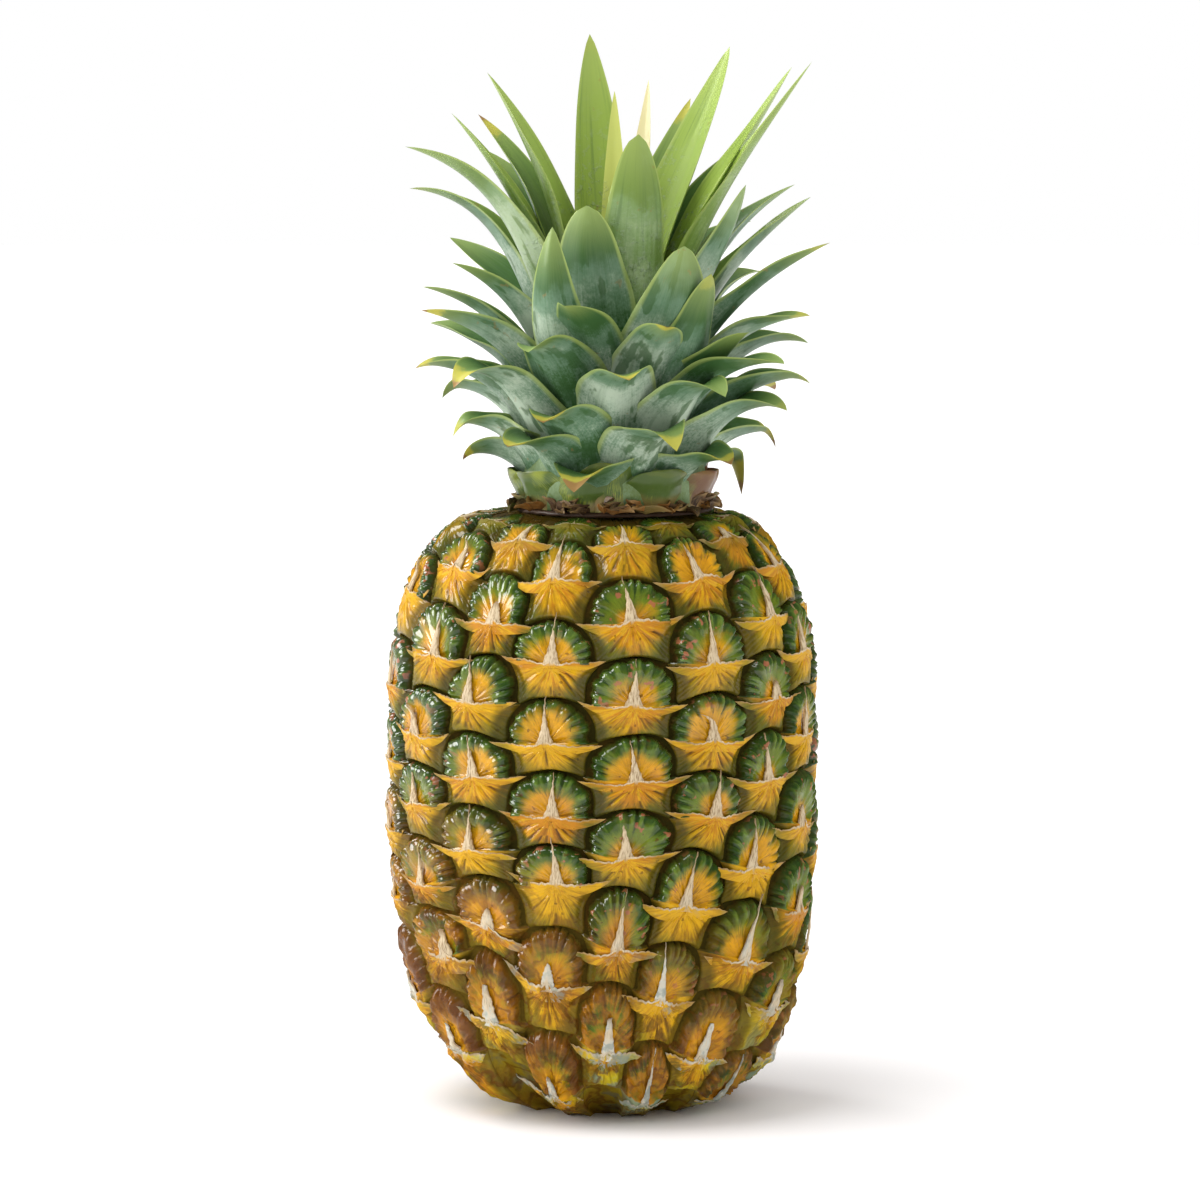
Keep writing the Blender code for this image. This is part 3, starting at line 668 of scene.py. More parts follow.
class WrapTree(FieldTree):
    """Wraps flat eye shapes on the fruit: across and up each hexagon, and off the floor of its grooves."""

    def __init__(self, form: FruitForm, shapes: bpy.types.Collection, outline: Piece,
                 material: Material, merge: float) -> None:
        """Builds the tree.

        Args:
            form: The fruit's outline and lattice.
            shapes: The shapes that the eyes draw from.
            outline: The outline curve.
            material: The finish.
            merge: The distance within which points become one.
        """
        super().__init__("wrap_on_fruit")
        self.form = form
        self.profile = self.size("Outline", outline, "Object")
        self.side = self.size("Half width of an eye in degrees", form.side_corner)
        self.crowd = self.size("Crowding of the low rows in degrees", form.crowding)
        self.drift = self.size("Drift of the low rows", 1.0)
        stray_turn = self.size("Unevenness of the grooves in degrees", 0.45)
        stray_arc = self.size("Unevenness of the grooves up the outline", 0.0004)
        low_lumps = self.size("Lumps of the low rows", 1.10)
        high_lumps = self.size("Lumps of the other rows", 0.36)
        seed = self.size("Seed", 4.0)
        group = self.size("Eye shapes", shapes, "Collection")
        dress = self.size("Finish", material, "Material")
        near = self.size("Merge distance", merge)

        library = self.term("GeometryNodeCollectionInfo", None,
                            {"Collection": group, "Separate Children": True, "Reset Children": True})
        copies = self.term("GeometryNodeInstanceOnPoints", None,
                           {"Points": self.start(), "Instance": library, "Pick Instance": True,
                            "Instance Index": self.own("variant", "INT")})
        real = self.term("GeometryNodeRealizeInstances", None, {"Geometry": copies})
        across, up, bow = self.split(self.own("place", "FLOAT_VECTOR"))
        arc = self.own("arc") + self.math("MAXIMUM", up, 0.0) * self.own("up") \
            + self.math("MINIMUM", up, 0.0) * self.own("down") + bow * MM
        angle = self.own("turn") + across * self.side
        middle = self.own("stray", "FLOAT_VECTOR")
        apart = middle
        shares = (*self.split(self.own("low_shares", "FLOAT_VECTOR")),
                  *self.split(self.own("high_shares", "FLOAT_VECTOR")))
        for title, share in zip(CORNER_STRAYS, shares):
            corner = self.vector("SUBTRACT", self.own(title, "FLOAT_VECTOR"), middle)
            apart = self.vector("ADD", apart, self.vector("SCALE", corner, scale=share))
        aside, along, _ = self.split(apart)
        angle = angle + aside
        arc = arc + along
        ends = self.rise(arc, 0.0, form.even_ends) \
            * self.rise(arc, form.row_arcs[-1], form.row_arcs[-1] - form.even_ends)
        east, south = self.direction(angle)
        around = self.join(east, south, arc / form.groove_radius + seed)
        stray_a, stray_b, _ = self.split(self.noise(around, 4.5, 1.0, output=1))
        angle = angle + (stray_a - 0.5) * 4.0 * stray_turn * ends
        arc = arc + (stray_b - 0.5) * 4.0 * stray_arc * ends
        bumps = self.noise(around, 17.0, 2.0) - 0.5
        bumps = bumps * (high_lumps + (low_lumps - high_lumps) * self.rise(arc, 0.075, 0.035))
        place = self.on_skin(angle, arc, self.own("relief") * MM * self.own("swell") * (1.0 + bumps))
        moved = self.term("GeometryNodeSetPosition", None, {"Geometry": real, "Position": place})
        for name in ("place", "mark", "lot", "body"):
            moved = self.keep(moved, f"eye_{name}", self.own(name, "FLOAT_VECTOR"))
        merged = self.term("GeometryNodeMergeByDistance", None, {"Geometry": moved, "Distance": near})
        self.close(merged, dress)

    def on_skin(self, angle: Term, arc: Term, relief: Term) -> Term:
        """The place of a point on the fruit.

        Args:
            angle: Its angle in degrees from the front, before the low rows' crowding.
            arc: Its distance up the outline.
            relief: How far it stands off the floor of the grooves.

        Returns:
            Its place.
        """
        form = self.form
        level = arc
        for drift in form.drifts:
            start, full, fading, end = drift.angles
            low, risen, held, high = drift.arcs
            turn = self.math("FLOORED_MODULO", angle - full + 180.0, 360.0) + (full - 180.0)
            share = self.rise(turn, start, full) * self.rise(turn, end, fading)
            share = share * self.rise(level, low, risen) * self.rise(level, high, held)
            arc = arc + self.drift * drift.amount * share
        sample = self.node("GeometryNodeSampleCurve", {"mode": "LENGTH"},
                           {"Curves": self.term("GeometryNodeObjectInfo", None, {"Object": self.profile},
                                                "Geometry"), "Length": arc})
        radius, _, height = self.split(Term(self, sample.outputs["Position"]))
        run, _, climb = self.split(Term(self, sample.outputs["Tangent"]))
        relief = relief * self.rise(height, 0.0, form.base_fade) \
            * self.rise(form.row_arcs[-1] - arc, 0.0, form.neck_fade)
        first, most, last = form.crowding_angles
        round_right = self.math("FLOORED_MODULO", angle - first, 360.0) + first
        share = self.rise(round_right, first, most) * self.rise(round_right, last, most)
        radius = radius + climb * relief
        angle = angle + self.crowd * share * self.rise(height, form.crowding_height, 0.0)
        height = self.math("MAXIMUM", height - run * relief, 0.0)
        east, south = self.direction(angle)
        middle = form.lean * self.rise(height, 0.0, form.lean_height)
        return self.join(middle + radius * east, -1.0 * radius * south, height)


@dataclass(frozen=True)
class EyeShape:
    """The relief of one eye in mm over its grooves: a lobed dome above and a folded bract below."""

    top_corner: float
    half_width: float = 13.2
    half_height: float = 11.0
    rings: tuple[tuple[float, int], ...] = (
        (0.06, 6), (0.12, 6), (0.18, 6), (0.26, 12), (0.34, 12), (0.42, 12), (0.50, 12), (0.58, 12),
        (0.65, 24), (0.71, 24), (0.77, 24), (0.82, 24), (0.865, 24), (0.90, 24), (0.93, 24), (0.955, 24),
        (0.978, 24), (1.0, 24))
    dome_half_width: float = 0.86
    dome_squareness: float = 2.7
    dome_height: float = 2.45
    wall_width: float = 0.15
    rim_height: float = 0.45
    bowl_depth: float = 0.75
    lobe_height: float = 0.85
    notch: float = 0.10
    ripple: float = 0.95
    crest_height: float = 3.5
    heel_drop: float = 0.42
    heel_half_width: float = 0.50
    wing_fall: float = 0.24
    flank_drop: float = 0.50
    fold_depth: float = 0.85
    root_drop: float = 0.035
    side_bulge: float = 0.085
    side_pinch: float = 1.6
    top_bow: float = 2.2

    def border(self, per_edge: int) -> np.ndarray:
        """Points round the hexagon, anticlockwise from its right corner.

        Args:
            per_edge: How many points each edge gives.

        Returns:
            The points, one row each.
        """
        top = self.top_corner
        corners = np.array([(1, 0), (top, 1), (-top, 1), (-1, 0), (-top, -1), (top, -1)], dtype=float)
        shares = np.arange(per_edge)[:, None] / per_edge
        return np.concatenate([corners[k] + shares * (corners[(k + 1) % 6] - corners[k]) for k in range(6)])

    def net(self) -> tuple[np.ndarray, list[list[int]]]:
        """The flat net of points and faces, in rings round the spine's root.

        Returns:
            The points and the faces.
        """
        points = [np.zeros((1, 2))]
        faces: list[list[int]] = []
        inner, inner_first, total = 0, 0, 1
        for share, per_edge in self.rings:
            count = 6 * per_edge
            points.append(share * self.border(per_edge))
            for k in range(count if inner in (0, count) else inner):
                after = (k + 1) % count
                if inner == 0:
                    faces.append([0, total + k, total + after])
                elif inner == count:
                    faces.append([inner_first + k, total + k, total + after, inner_first + after])
                else:
                    a, b, c = total + 2 * k, total + 2 * k + 1, total + (2 * k + 2) % count
                    here, there = inner_first + k, inner_first + (k + 1) % inner
                    faces += [[here, a, b], [here, b, there], [there, b, c]]
            inner, inner_first, total = count, total, total + count
        return np.concatenate(points), faces

    def place(self, points: np.ndarray) -> np.ndarray:
        """Bends the straight hexagon: its upper half swells to a dome, which hollows the halves beside it.

        Args:
            points: Points across and up the hexagon.

        Returns:
            Across, up and the bow of the upper edge in mm, for each point.
        """
        across, up = points[:, 0], points[:, 1]
        straight = 1.0 - (1.0 - self.top_corner) * np.abs(up)
        share = np.minimum(np.abs(across) / straight, 1.0)
        rise = np.where(up >= 0.0, up, 1.0 + up)
        swell = self.side_bulge * np.sin(math.pi * np.clip(rise, 0.0, 1.0) ** 1.5)
        swell -= self.side_pinch * rise * np.exp(-rise / 0.10)
        swell *= np.where(up >= 0.0, 1.0, -1.0)
        inside = 1.0 - np.maximum(np.abs(up), np.abs(across) + (1.0 - self.top_corner) * np.abs(up))
        drop = self.root_drop * (1.0 - across**2) * inside
        bow = self.top_bow * np.clip(1.0 - (across / self.top_corner) ** 2, 0.0, 1.0) * np.abs(up) ** 1.6
        return np.column_stack([across + np.sign(across) * swell * share**2, up - drop, bow])

    def corner_shares(self, points: np.ndarray) -> np.ndarray:
        """How much of each corner's stray a point takes. The rest is the eye's own.

        Args:
            points: Points across and up the hexagon.

        Returns:
            Six shares for each point.
        """
        corners = self.border(1)
        shares = np.zeros((len(points), 6))
        for corner, (here, after) in enumerate(zip(corners, np.roll(corners, -1, axis=0))):
            size = here[0] * after[1] - here[1] * after[0]
            first = (points[:, 0] * after[1] - points[:, 1] * after[0]) / size
            second = (here[0] * points[:, 1] - here[1] * points[:, 0]) / size
            inside = (first >= -1e-9) & (second >= -1e-9)
            shares[inside] = 0.0
            shares[inside, corner] = first[inside]
            shares[inside, (corner + 1) % 6] = second[inside]
        return shares

    def crest(self, across: np.ndarray) -> np.ndarray:
        """The height of the bract's upper edge along it."""
        return self.crest_height * (1.0 - np.minimum(np.abs(across), 1.0) ** 2.5) ** 0.8

    def dome(self, points: np.ndarray, draw: Draws) -> Sheet:
        """The dome over the spine's root: a lobed rim round a shallow bowl with two swellings.

        Args:
            points: Points across and up the hexagon.
            draw: The draws of this variant.

        Returns:
            The relief in mm, how deep in a notch each point lies, and how far up the outer wall.
        """
        across, up = points[:, 0], np.clip(points[:, 1], 0.0, 1.0)
        turn = np.degrees(np.arctan2(up * self.half_height, across * self.half_width))
        bent = turn + 5.0 * np.sin(np.radians(turn * 5.0) + any_phase(draw))
        lobe = np.abs(np.sin(np.radians(bent * draw.uniform(8.5, 11.5)) + any_phase(draw))) ** 0.55
        small = np.abs(np.sin(np.radians(bent * draw.uniform(21.0, 27.0)) + any_phase(draw))) ** 0.7
        notch = np.clip(1.0 - 0.72 * lobe - 0.28 * small, 0.0, 1.0)
        power = self.dome_squareness
        half_width = self.dome_half_width * draw.uniform(0.96, 1.03)
        out = ((np.abs(across) / half_width) ** power + up**power) ** (1.0 / power)
        within = 1.0 - out / (1.0 - self.notch * notch)
        wall = np.sqrt(1.0 - (1.0 - np.clip(within / self.wall_width, 0.0, 1.0)) ** 2)
        rim_band = smooth_all(within, 0.0, 0.05) * (1.0 - smooth_all(within, 0.16, 0.62))
        height = self.dome_height + self.rim_height * np.exp(-(((within - 0.24) / 0.13) ** 2))
        height -= self.bowl_depth * np.exp(-(((within - 0.62) / 0.24) ** 2))
        for side in (-1, 1):
            middle_across, middle_up = side * draw.uniform(0.24, 0.32), draw.uniform(0.28, 0.40)
            away = ((across - middle_across) / 0.22) ** 2 + ((up - middle_up) / 0.25) ** 2
            height += self.lobe_height * draw.uniform(0.6, 1.15) * np.exp(-away)
        rippled = 1.6 * rim_band + 0.7 * np.exp(-(((within - 0.7) / 0.25) ** 2))
        height += self.ripple * (0.5 - notch) * rippled
        return height * wall, notch * rim_band, wall

    def bract(self, points: np.ndarray, draw: Draws) -> Sheet:
        """The bract under the spine's root: two wings over a folded heel, with lower flanks beside it.

        Args:
            points: Points across and up the hexagon.
            draw: The draws of this variant.

        Returns:
            The relief in mm, how deep in a fold each point lies, and how far up the outer wall.
        """
        across, below = points[:, 0], np.clip(-points[:, 1], 0.0, 1.0)
        inside = 1.0 - np.maximum(below, np.abs(across) + (1.0 - self.top_corner) * below)
        turn = np.degrees(np.arctan2(-below * self.half_height, across * self.half_width))
        reach = np.hypot(below * self.half_height, across * self.half_width)
        fold = np.zeros_like(turn)
        for middle in (0.0, -17.0, 18.0, -36.0, 38.0, -57.0, 58.0):
            middle = -90.0 + middle + draw.uniform(-6.0, 6.0)
            depth = draw.uniform(0.35, 1.0) * (0.6 if middle == -90.0 else 1.0)
            width = draw.uniform(2.4, 5.0)
            band = smooth_all(reach, 1.2, 3.0) * (1.0 - smooth_all(reach, draw.uniform(6.0, 9.5), 11.5))
            fold += depth * np.exp(-(((turn - middle) / width) ** 2)) * band
        fine = np.sin(np.radians(turn * 53) + any_phase(draw)) * smooth_all(reach, 2.0, 5.0)
        face = self.crest(across) * (1.0 - self.heel_drop * below) + 0.40 * np.sin(np.pi * below)
        half_width = self.heel_half_width + (1.0 - self.heel_half_width) * np.exp(-below / self.wing_fall)
        flank = smooth_all(np.abs(across) - half_width, -0.10, 0.14) * smooth_all(below, 0.02, 0.20)
        face = face * (1.0 - self.flank_drop * flank) - self.fold_depth * fold * (1.0 - flank) + 0.08 * fine
        wall = np.sqrt(1.0 - (1.0 - np.clip(inside / 0.09, 0.0, 1.0)) ** 2)
        return wall * face, np.minimum(fold, 1.0), wall * (1.0 - 0.35 * flank)

    def relief(self, points: np.ndarray, draw: Draws) -> Sheet:
        """The whole eye's relief and marks.

        Args:
            points: Points across and up the hexagon.
            draw: The draws of this variant.

        Returns:
            The relief in mm, how deep in a notch or fold each point lies, and how far up the outer wall.
        """
        across, up = points[:, 0], points[:, 1]
        dome, notch, dome_wall = self.dome(points, draw)
        bract, fold, bract_wall = self.bract(points, draw)
        is_bract = (up < -1e-6) | ((np.abs(up) <= 1e-6) & (np.abs(across) > 0.0))
        relief = np.where(is_bract, bract, dome)
        relief[0] = self.crest_height
        return relief, np.where(is_bract, fold, notch), np.where(is_bract, bract_wall, dome_wall)

    def variant(self, name: str, seed: int) -> Piece:
        """One drawn shape.

        Args:
            name: The object's name.
            seed: The seed of its draws.

        Returns:
            The shape, outside the scene.
        """
        points, faces = self.net()
        relief, fold, wall = self.relief(points, np.random.default_rng(seed))
        place = self.place(points)
        mark = np.column_stack([fold, points])
        shares = self.corner_shares(points)
        body = np.column_stack([wall, relief / self.crest_height, np.zeros(len(points))])
        return pattern_object(name, place, faces, {
            "place": place, "relief": relief, "mark": mark, "body": body, "low_shares": shares[:, :3],
            "high_shares": shares[:, 3:]})


class Tip(Enum):
    """How an eye's papery spine has dried."""

    WHOLE = "whole"
    LEANING = "leaning"
    BENT = "bent"
    BROKEN = "broken"
    STUB = "stub"


@dataclass(frozen=True)
class SpineShape:
    """The papery spine of an eye and the bract's wings beside its root, in the eye's own measures."""

    eye: EyeShape
    root_half_width: float = 0.185
    length: float = 1.24
    taper: float = 2.1
    thickness: float = 0.40
    rows: int = 15
    columns: int = 7
    tip_fall: float = 0.75
    wing_points: int = 24
    wing_levels: int = 6
    wing_reach: float = 1.12
    wing_depth: float = 0.26
    wing_tip_rise: float = 0.9

    def spine(self, tip: Tip, draw: Draws) -> Sheet:
        """The spine's front points, their relief and their marks.

        Args:
            tip: How it has dried.
            draw: The draws of this variant.

        Returns:
            Places, relief in mm and marks.
        """
        along = np.linspace(0.0, 1.0, self.rows)[:, None]
        side = np.linspace(-1.0, 1.0, self.columns)[None, :]
        end = {Tip.BROKEN: 0.42, Tip.STUB: 0.57}.get(tip, 1.0) * draw.uniform(0.92, 1.06)
        lean = {Tip.LEANING: 0.16, Tip.BENT: 0.10}.get(tip, 0.04) * (1.0 if draw.uniform() > 0.5 else -1.0)
        half = self.root_half_width * (1.0 - along * min(end, 1.0) * 0.985) ** self.taper + 0.004
        half = half * {Tip.STUB: 1.35}.get(tip, 1.0) + 0.07 * np.exp(-along / 0.045)
        if tip is Tip.BROKEN:
            half = half * np.sqrt(1.0 - along**5) + 0.004
        ragged = 0.010 * np.sin(along * 37.0 + side * 2.0 + any_phase(draw)) * np.abs(side)
        across = side * (half + ragged) + lean * (along * end) ** 1.6
        up = -self.eye.root_drop - 0.08 + (self.length + 0.08) * end * along + np.zeros_like(side)
        relief = self.eye.crest_height + 0.45 - self.tip_fall * along**1.3 - 0.65 * side**2 * (1.0 - along)
        if tip is Tip.BENT:
            over = np.clip((along - 0.45) / 0.55, 0.0, 1.0)
            up = up - 0.42 * over**1.4 * self.length * 0.8
            across = across + 0.26 * over * np.sign(lean)
            relief = relief + 0.9 * np.sin(np.pi * np.clip(over, 0.0, 1.0)) * 0.8
        groove = -0.22 * np.exp(-((side / 0.35) ** 2)) * (1.0 - along)
        relief = relief + groove + np.zeros_like(across)
        zeros = np.zeros_like(across)
        return in_rows(across, up, zeros), relief.ravel(), in_rows(zeros + 1.0, along, side)

    def wing(self, side: int, draw: Draws) -> Sheet:
        """One side's wing of the bract: front points, relief and marks. Its upper edge is a dry margin.

        Args:
            side: 1 for the right, -1 for the left.
            draw: The draws of this variant.

        Returns:
            Places, relief in mm and marks.
        """
        out = np.linspace(0.03, 1.0, self.wing_points)[:, None]
        level = np.linspace(0.0, 1.0, self.wing_levels)[None, :]
        reach = out * self.wing_reach * draw.uniform(0.93, 1.05)
        rise = draw.uniform(-0.09, 0.15)
        line = -self.eye.root_drop * (1.0 - out**2) * (1.0 - out) + rise * out**3
        line = line + draw.uniform(-0.085, 0.045) * np.sin(np.pi * out)
        wave = draw.uniform(0.4, 1.0) * np.sin(out * draw.uniform(8.0, 13.0) + any_phase(draw))
        ragged = 0.016 * np.sin(out * 41.0 + any_phase(draw)) + 0.010 * np.sin(out * 89.0 + 1.0)
        ragged = ragged + 0.030 * wave
        taper = (1.0 - out**4) * (1.0 - 0.30 * out)
        low = line - self.wing_depth * taper
        high = line + (0.024 + ragged) * taper + 0.06 * np.exp(-(out - 0.03) / 0.06)
        up = low + (high - low) * level
        below = np.clip(-up, 0.0, 1.0)
        crest = self.eye.crest(np.minimum(reach, 0.84)) * (1.0 - self.eye.heel_drop * below)
        crest = crest + 0.40 * np.sin(np.pi * below)
        outer = self.wing_tip_rise * smooth_all(out, 0.62, 1.0) * draw.uniform(0.7, 1.2)
        sunk = 0.50 * (1.0 - level) ** 2 * (1.0 - smooth_all(out, 0.55, 0.80))
        relief = crest + outer + 0.16 + 0.22 * level - sunk + 0.24 * wave * level
        grids = np.broadcast_arrays(side * reach, up, np.zeros_like(up), relief, level, out)
        if side < 0:
            grids = [grid[:, ::-1] for grid in grids]
        across, up, zeros, relief, level, out = grids
        return in_rows(across, up, zeros), relief.ravel(), in_rows(zeros, level, out)

    def variant(self, name: str, tip: Tip, seed: int) -> Piece:
        """One drawn spine with its margins.

        Args:
            name: The object's name.
            tip: How it has dried.
            seed: The seed of its draws.

        Returns:
            The shape, outside the scene.
        """
        draw = np.random.default_rng(seed)
        parts = [(self.spine(tip, draw), self.rows, self.columns, False),
                 (self.wing(1, draw), self.wing_points, self.wing_levels, True),
                 (self.wing(-1, draw), self.wing_points, self.wing_levels, True)]
        places, reliefs, marks, faces, total = [], [], [], [], 0
        for (place, relief, mark), rows, columns, turned in parts:
            thin = self.thickness * (0.5 if turned else 1.0)
            places += [place, place]
            reliefs += [relief, relief - thin]
            marks += [mark, mark]
            for face in slab_faces(rows, columns):
                face = [total + point for point in face]
                faces.append(list(reversed(face)) if turned else face)
            total += 2 * len(place)
        place = np.concatenate(places)
        return pattern_object(name, place, faces, {
            "place": place, "relief": np.concatenate(reliefs), "mark": np.concatenate(marks)})


@dataclass(frozen=True)
class BractSkin:
    """The fleshy bracts' colours, with painted shade in their folds and under the collar, shared by the rind
    and by the wings of the papery parts.
    """

    mustard: Colour = (0.58, 0.32, 0.010)
    ochre: Colour = (0.47, 0.19, 0.010)
    olive: Colour = (0.20, 0.165, 0.010)
    green: Colour = (0.085, 0.105, 0.010)
    # Dark slashes of the skin, also laid as painted shade in the folds and under the collar.
    slash_and_shade: Colour = (0.075, 0.028, 0.005)
    brown: Colour = (0.20, 0.085, 0.010)
    low_yellow: Colour = (0.60, 0.50, 0.016)
    mould: Colour = (0.17, 0.24, 0.18)

    def colour(self, tree: ShaderTree, across: Term, up: Term, fold: Term | float) -> Term:
        """The colour at a place of an eye.

        Args:
            tree: The material's tree.
            across: How far across its eye the place is.
            up: How far up its eye it is.
            fold: How deep in a fold it is.

        Returns:
            The colour.
        """
        rise, noise = tree.rise, tree.noise
        chance, _, chance_b = tree.parts("eye_lot")
        where = tree.place()
        east, north, height = tree.split(where)
        ray = tree.rays(across, up, 0.03, tree.join(chance * 17.0, chance_b * 9.0, up * 0.35))
        streak = noise(ray, 2.6, 3.0, 0.6)
        fine = noise(ray, 6.5, 3.0, 0.62)
        broad = noise(where, 70.0, 3.0, 0.55)
        mottle = noise(where, 190.0, 3.0, 0.6)
        grain = mottle - 0.5

        aside = abs(across) * 0.75 - up * 0.75 + (streak - 0.5) * 0.9 + (broad - 0.5) * 0.8
        colour = tree.layers(
            self.mustard,
            (rise(streak + (chance_b - 0.5) * 0.25, 0.42, 0.62), self.ochre),
            (rise(aside + (chance - 0.5) * 0.3, 0.45, 0.95) * 0.85, self.olive),
            (rise(aside + (chance_b - 0.5) * 0.5, 0.80, 1.20) * 0.85, self.green),
            (rise(fine + grain * 0.3, 0.50, 0.70) * 0.36, self.slash_and_shade))
        # Painted shade: the bract's folds are darkened to the slash colour, over their real relief.
        if isinstance(fold, Term):
            colour = tree.mix(rise(fold + grain * 0.5, 0.16, 0.85) * 0.72, colour, self.slash_and_shade)
        sunless = rise(height + east * 0.30 + (broad - 0.5) * 0.04, 0.085, 0.030)
        neck = rise(height + grain * 0.01, 0.150, 0.163)
        radius = (east * east + north * north) ** 0.5
        # Painted shade under the collar: the rind close round the crown's foot at the top is darkened.
        collar_shade = rise(radius + grain * 0.004, 0.036, 0.030) * rise(height, 0.15, 0.16)
        foot = rise(height, 0.044, 0.010)
        stain = rise(broad + grain * 0.5 + chance * 0.08, 0.54, 0.66)
        return tree.layers(
            colour,
            (sunless * rise(mottle + (fine - 0.5) * 0.6, 0.40, 0.62) * 0.80, self.brown),
            (neck * (0.35 + 0.5 * chance), self.green),
            (collar_shade * 0.85, self.slash_and_shade),
            (foot * rise(broad, 0.40, 0.58) * 0.80, self.low_yellow),
            (foot * rise(mottle + (fine - 0.5) * 0.4, 0.50, 0.64) * 0.6, self.green),
            (rise(height, 0.034, 0.006) * stain * 0.85, self.mould))


@dataclass(frozen=True)
class RindFinish:
    """The waxy skin of the eyes: green rims, golden middles, fleshy bracts, grooves and hollows dark with
    painted shade, and painted highlights on the rims' ridges.
    """

    bract: BractSkin
    shape: EyeShape
    gold: Colour = (0.64, 0.31, 0.006)
    orange: Colour = (0.60, 0.24, 0.008)
    # The dome rims' own green, also laid as painted shade in the rims' notches.
    rim_green_and_notch_shade: Colour = (0.020, 0.052, 0.006)
    light_green: Colour = (0.125, 0.175, 0.010)
    # Painted highlight on the ridges of the dome rims.
    painted_ridge_highlight: Colour = (0.17, 0.26, 0.040)
    # Painted shade of the grooves: the pit colour on their walls and the groove colour at their floors.
    pit_shade: Colour = (0.040, 0.034, 0.006)
    groove: Colour = (0.012, 0.009, 0.003)
    rust: Colour = (0.44, 0.160, 0.006)
    brown: Colour = (0.115, 0.036, 0.006)
    # Painted shade of the low rows' grooves, browner.
    low_pit_shade: Colour = (0.140, 0.090, 0.012)
    ember: Colour = (0.16, 0.075, 0.008)
    speck: Colour = (0.36, 0.11, 0.055)

    def material(self) -> Material:
        """The finish as a material.

        Returns:
            The material.
        """
        tree = ShaderTree("rind")
        rise, noise = tree.rise, tree.noise
        fold, across, up = tree.parts("eye_mark")
        chance, _, chance_b = tree.parts("eye_lot")
        wall, body, _ = tree.parts("eye_body")
        where = tree.place()
        east, _, height = tree.split(where)
        power = self.shape.dome_squareness
        above = tree.math("MAXIMUM", up, 0.0)
        within = 1.0 - ((abs(across) / self.shape.dome_half_width) ** power + above**power) ** (1.0 / power)
        upper = rise(up, -0.012, 0.008)

        ray = tree.rays(across, up, 0.02, tree.join(chance * 17.0, chance_b * 9.0, within * 0.45))
        streak = noise(ray, 3.0, 3.0, 0.6)
        fine = noise(ray, 6.5, 3.0, 0.62)
        mottle = noise(where, 130.0, 4.0, 0.6)
        grain = mottle - 0.5
        broad = noise(where, 26.0, 2.0, 0.5)
        blotch = noise(where, 62.0, 3.0, 0.55)
        spot = noise(where, 310.0, 2.0, 0.5)
        pore = noise(where, 900.0, 2.0, 0.6)

        heat = rise(broad + (chance_b - 0.5) * 0.4 + grain * 0.5, 0.48, 0.80)
        embers = rise(mottle + (fine - 0.5) * 0.8, 0.50, 0.74) * 0.65
        warm = tree.layers(self.gold, (heat, self.orange), (embers, self.ember))
        lighter = rise(within + (fine - 0.5) * 0.5 + grain * 0.4, 0.10, 0.48)
        green = tree.mix(lighter, self.rim_green_and_notch_shade, self.light_green)
        uneven = (streak - 0.5) * 0.16 + (chance - 0.5) * 0.30 + grain * 0.4 + (blotch - 0.5) * 0.9
        shaded = rise(fine + (blotch - 0.5) * 0.4, 0.49, 0.66) * rise(within, 0.80, 0.25)
        # Painted highlight: the ridges between the rim's notches are lightened.
        ridge_highlight_mask = rise(fold, 0.30, 0.0) * rise(within, 0.03, 0.12) * rise(within, 0.34, 0.20)
        sunless = rise(height + east * 0.45 + (broad - 0.5) * 0.05, 0.078, 0.026)
        dark_rim = rise(within + grain * 0.9 + (chance - 0.5) * 0.5, 0.42, 0.10)
        dots = rise(spot + (0.5 - within) * 0.10, 0.64, 0.69) * (1.0 - sunless)
        dome = tree.layers(
            warm,
            (rise(within - uneven, 0.66, 0.32), green),
            (shaded * 0.36, self.rim_green_and_notch_shade),
            (ridge_highlight_mask * rise(streak + grain, 0.36, 0.62) * 0.50, self.painted_ridge_highlight),
            # Painted shade: the notches of the rim are darkened to the rim green.
            (rise(fold + (fine - 0.5) * 0.3, 0.16, 0.60) * 0.85, self.rim_green_and_notch_shade),
            (sunless * rise(mottle + (streak - 0.5) * 0.4, 0.36, 0.58) * 0.75, self.rust),
            (sunless * dark_rim * 0.85, self.brown),
            (dots * rise(broad + chance * 0.25, 0.5, 0.68) * 0.8, self.speck))

        dark_spot = rise(noise(where, 520.0, 1.0, 0.5), 0.70, 0.74)
        # Painted shade in the grooves: low on the eyes' walls the colour turns to the pit colour, and at the
        # very floor to the groove colour.
        pit_shade = tree.mix(sunless, self.pit_shade, self.low_pit_shade)
        deepest_shade = rise(wall + (fine - 0.5) * 0.10, 0.22, 0.0) * (0.80 - 0.35 * sunless)
        # Painted shade: places that stand low against their eye's crest, under the wings and in flanks and
        # folds, are darkened to the pit colour.
        sunk = rise(body + grain * 0.3 + (blotch - 0.5) * 0.2, 0.86, 0.40)
        cracks = abs(noise(where, 95.0, 3.0, 0.55) - 0.5)
        crease = rise(cracks, 0.06, 0.0) * (0.22 + 0.78 * sunless)
        colour = tree.layers(
            tree.mix(upper, self.bract.colour(tree, across, up, fold), dome),
            (dark_spot * 0.6, self.bract.slash_and_shade),
            (rise(wall + grain * 0.40, 0.52, 0.20) * 0.88, pit_shade),
            (deepest_shade, self.groove),
            (sunk * (0.72 - 0.36 * upper), pit_shade),
            (crease * 0.60, self.brown))
        relief = 0.045 * fine + 0.26 * mottle + 0.055 * pore + 0.11 * streak - 0.16 * crease
        gloss = (0.45 + 0.55 * upper) * rise(wall, 0.15, 0.60) \
            * (0.40 + 0.60 * rise(height, 0.03, 0.10))
        gloss = gloss * (0.45 + 0.55 * rise(broad + mottle * 0.4 - east * 2.0, 0.5, 0.8))
        return tree.finish(colour, 0.5, relief, 0.0016, coat=gloss, specular=0.0)


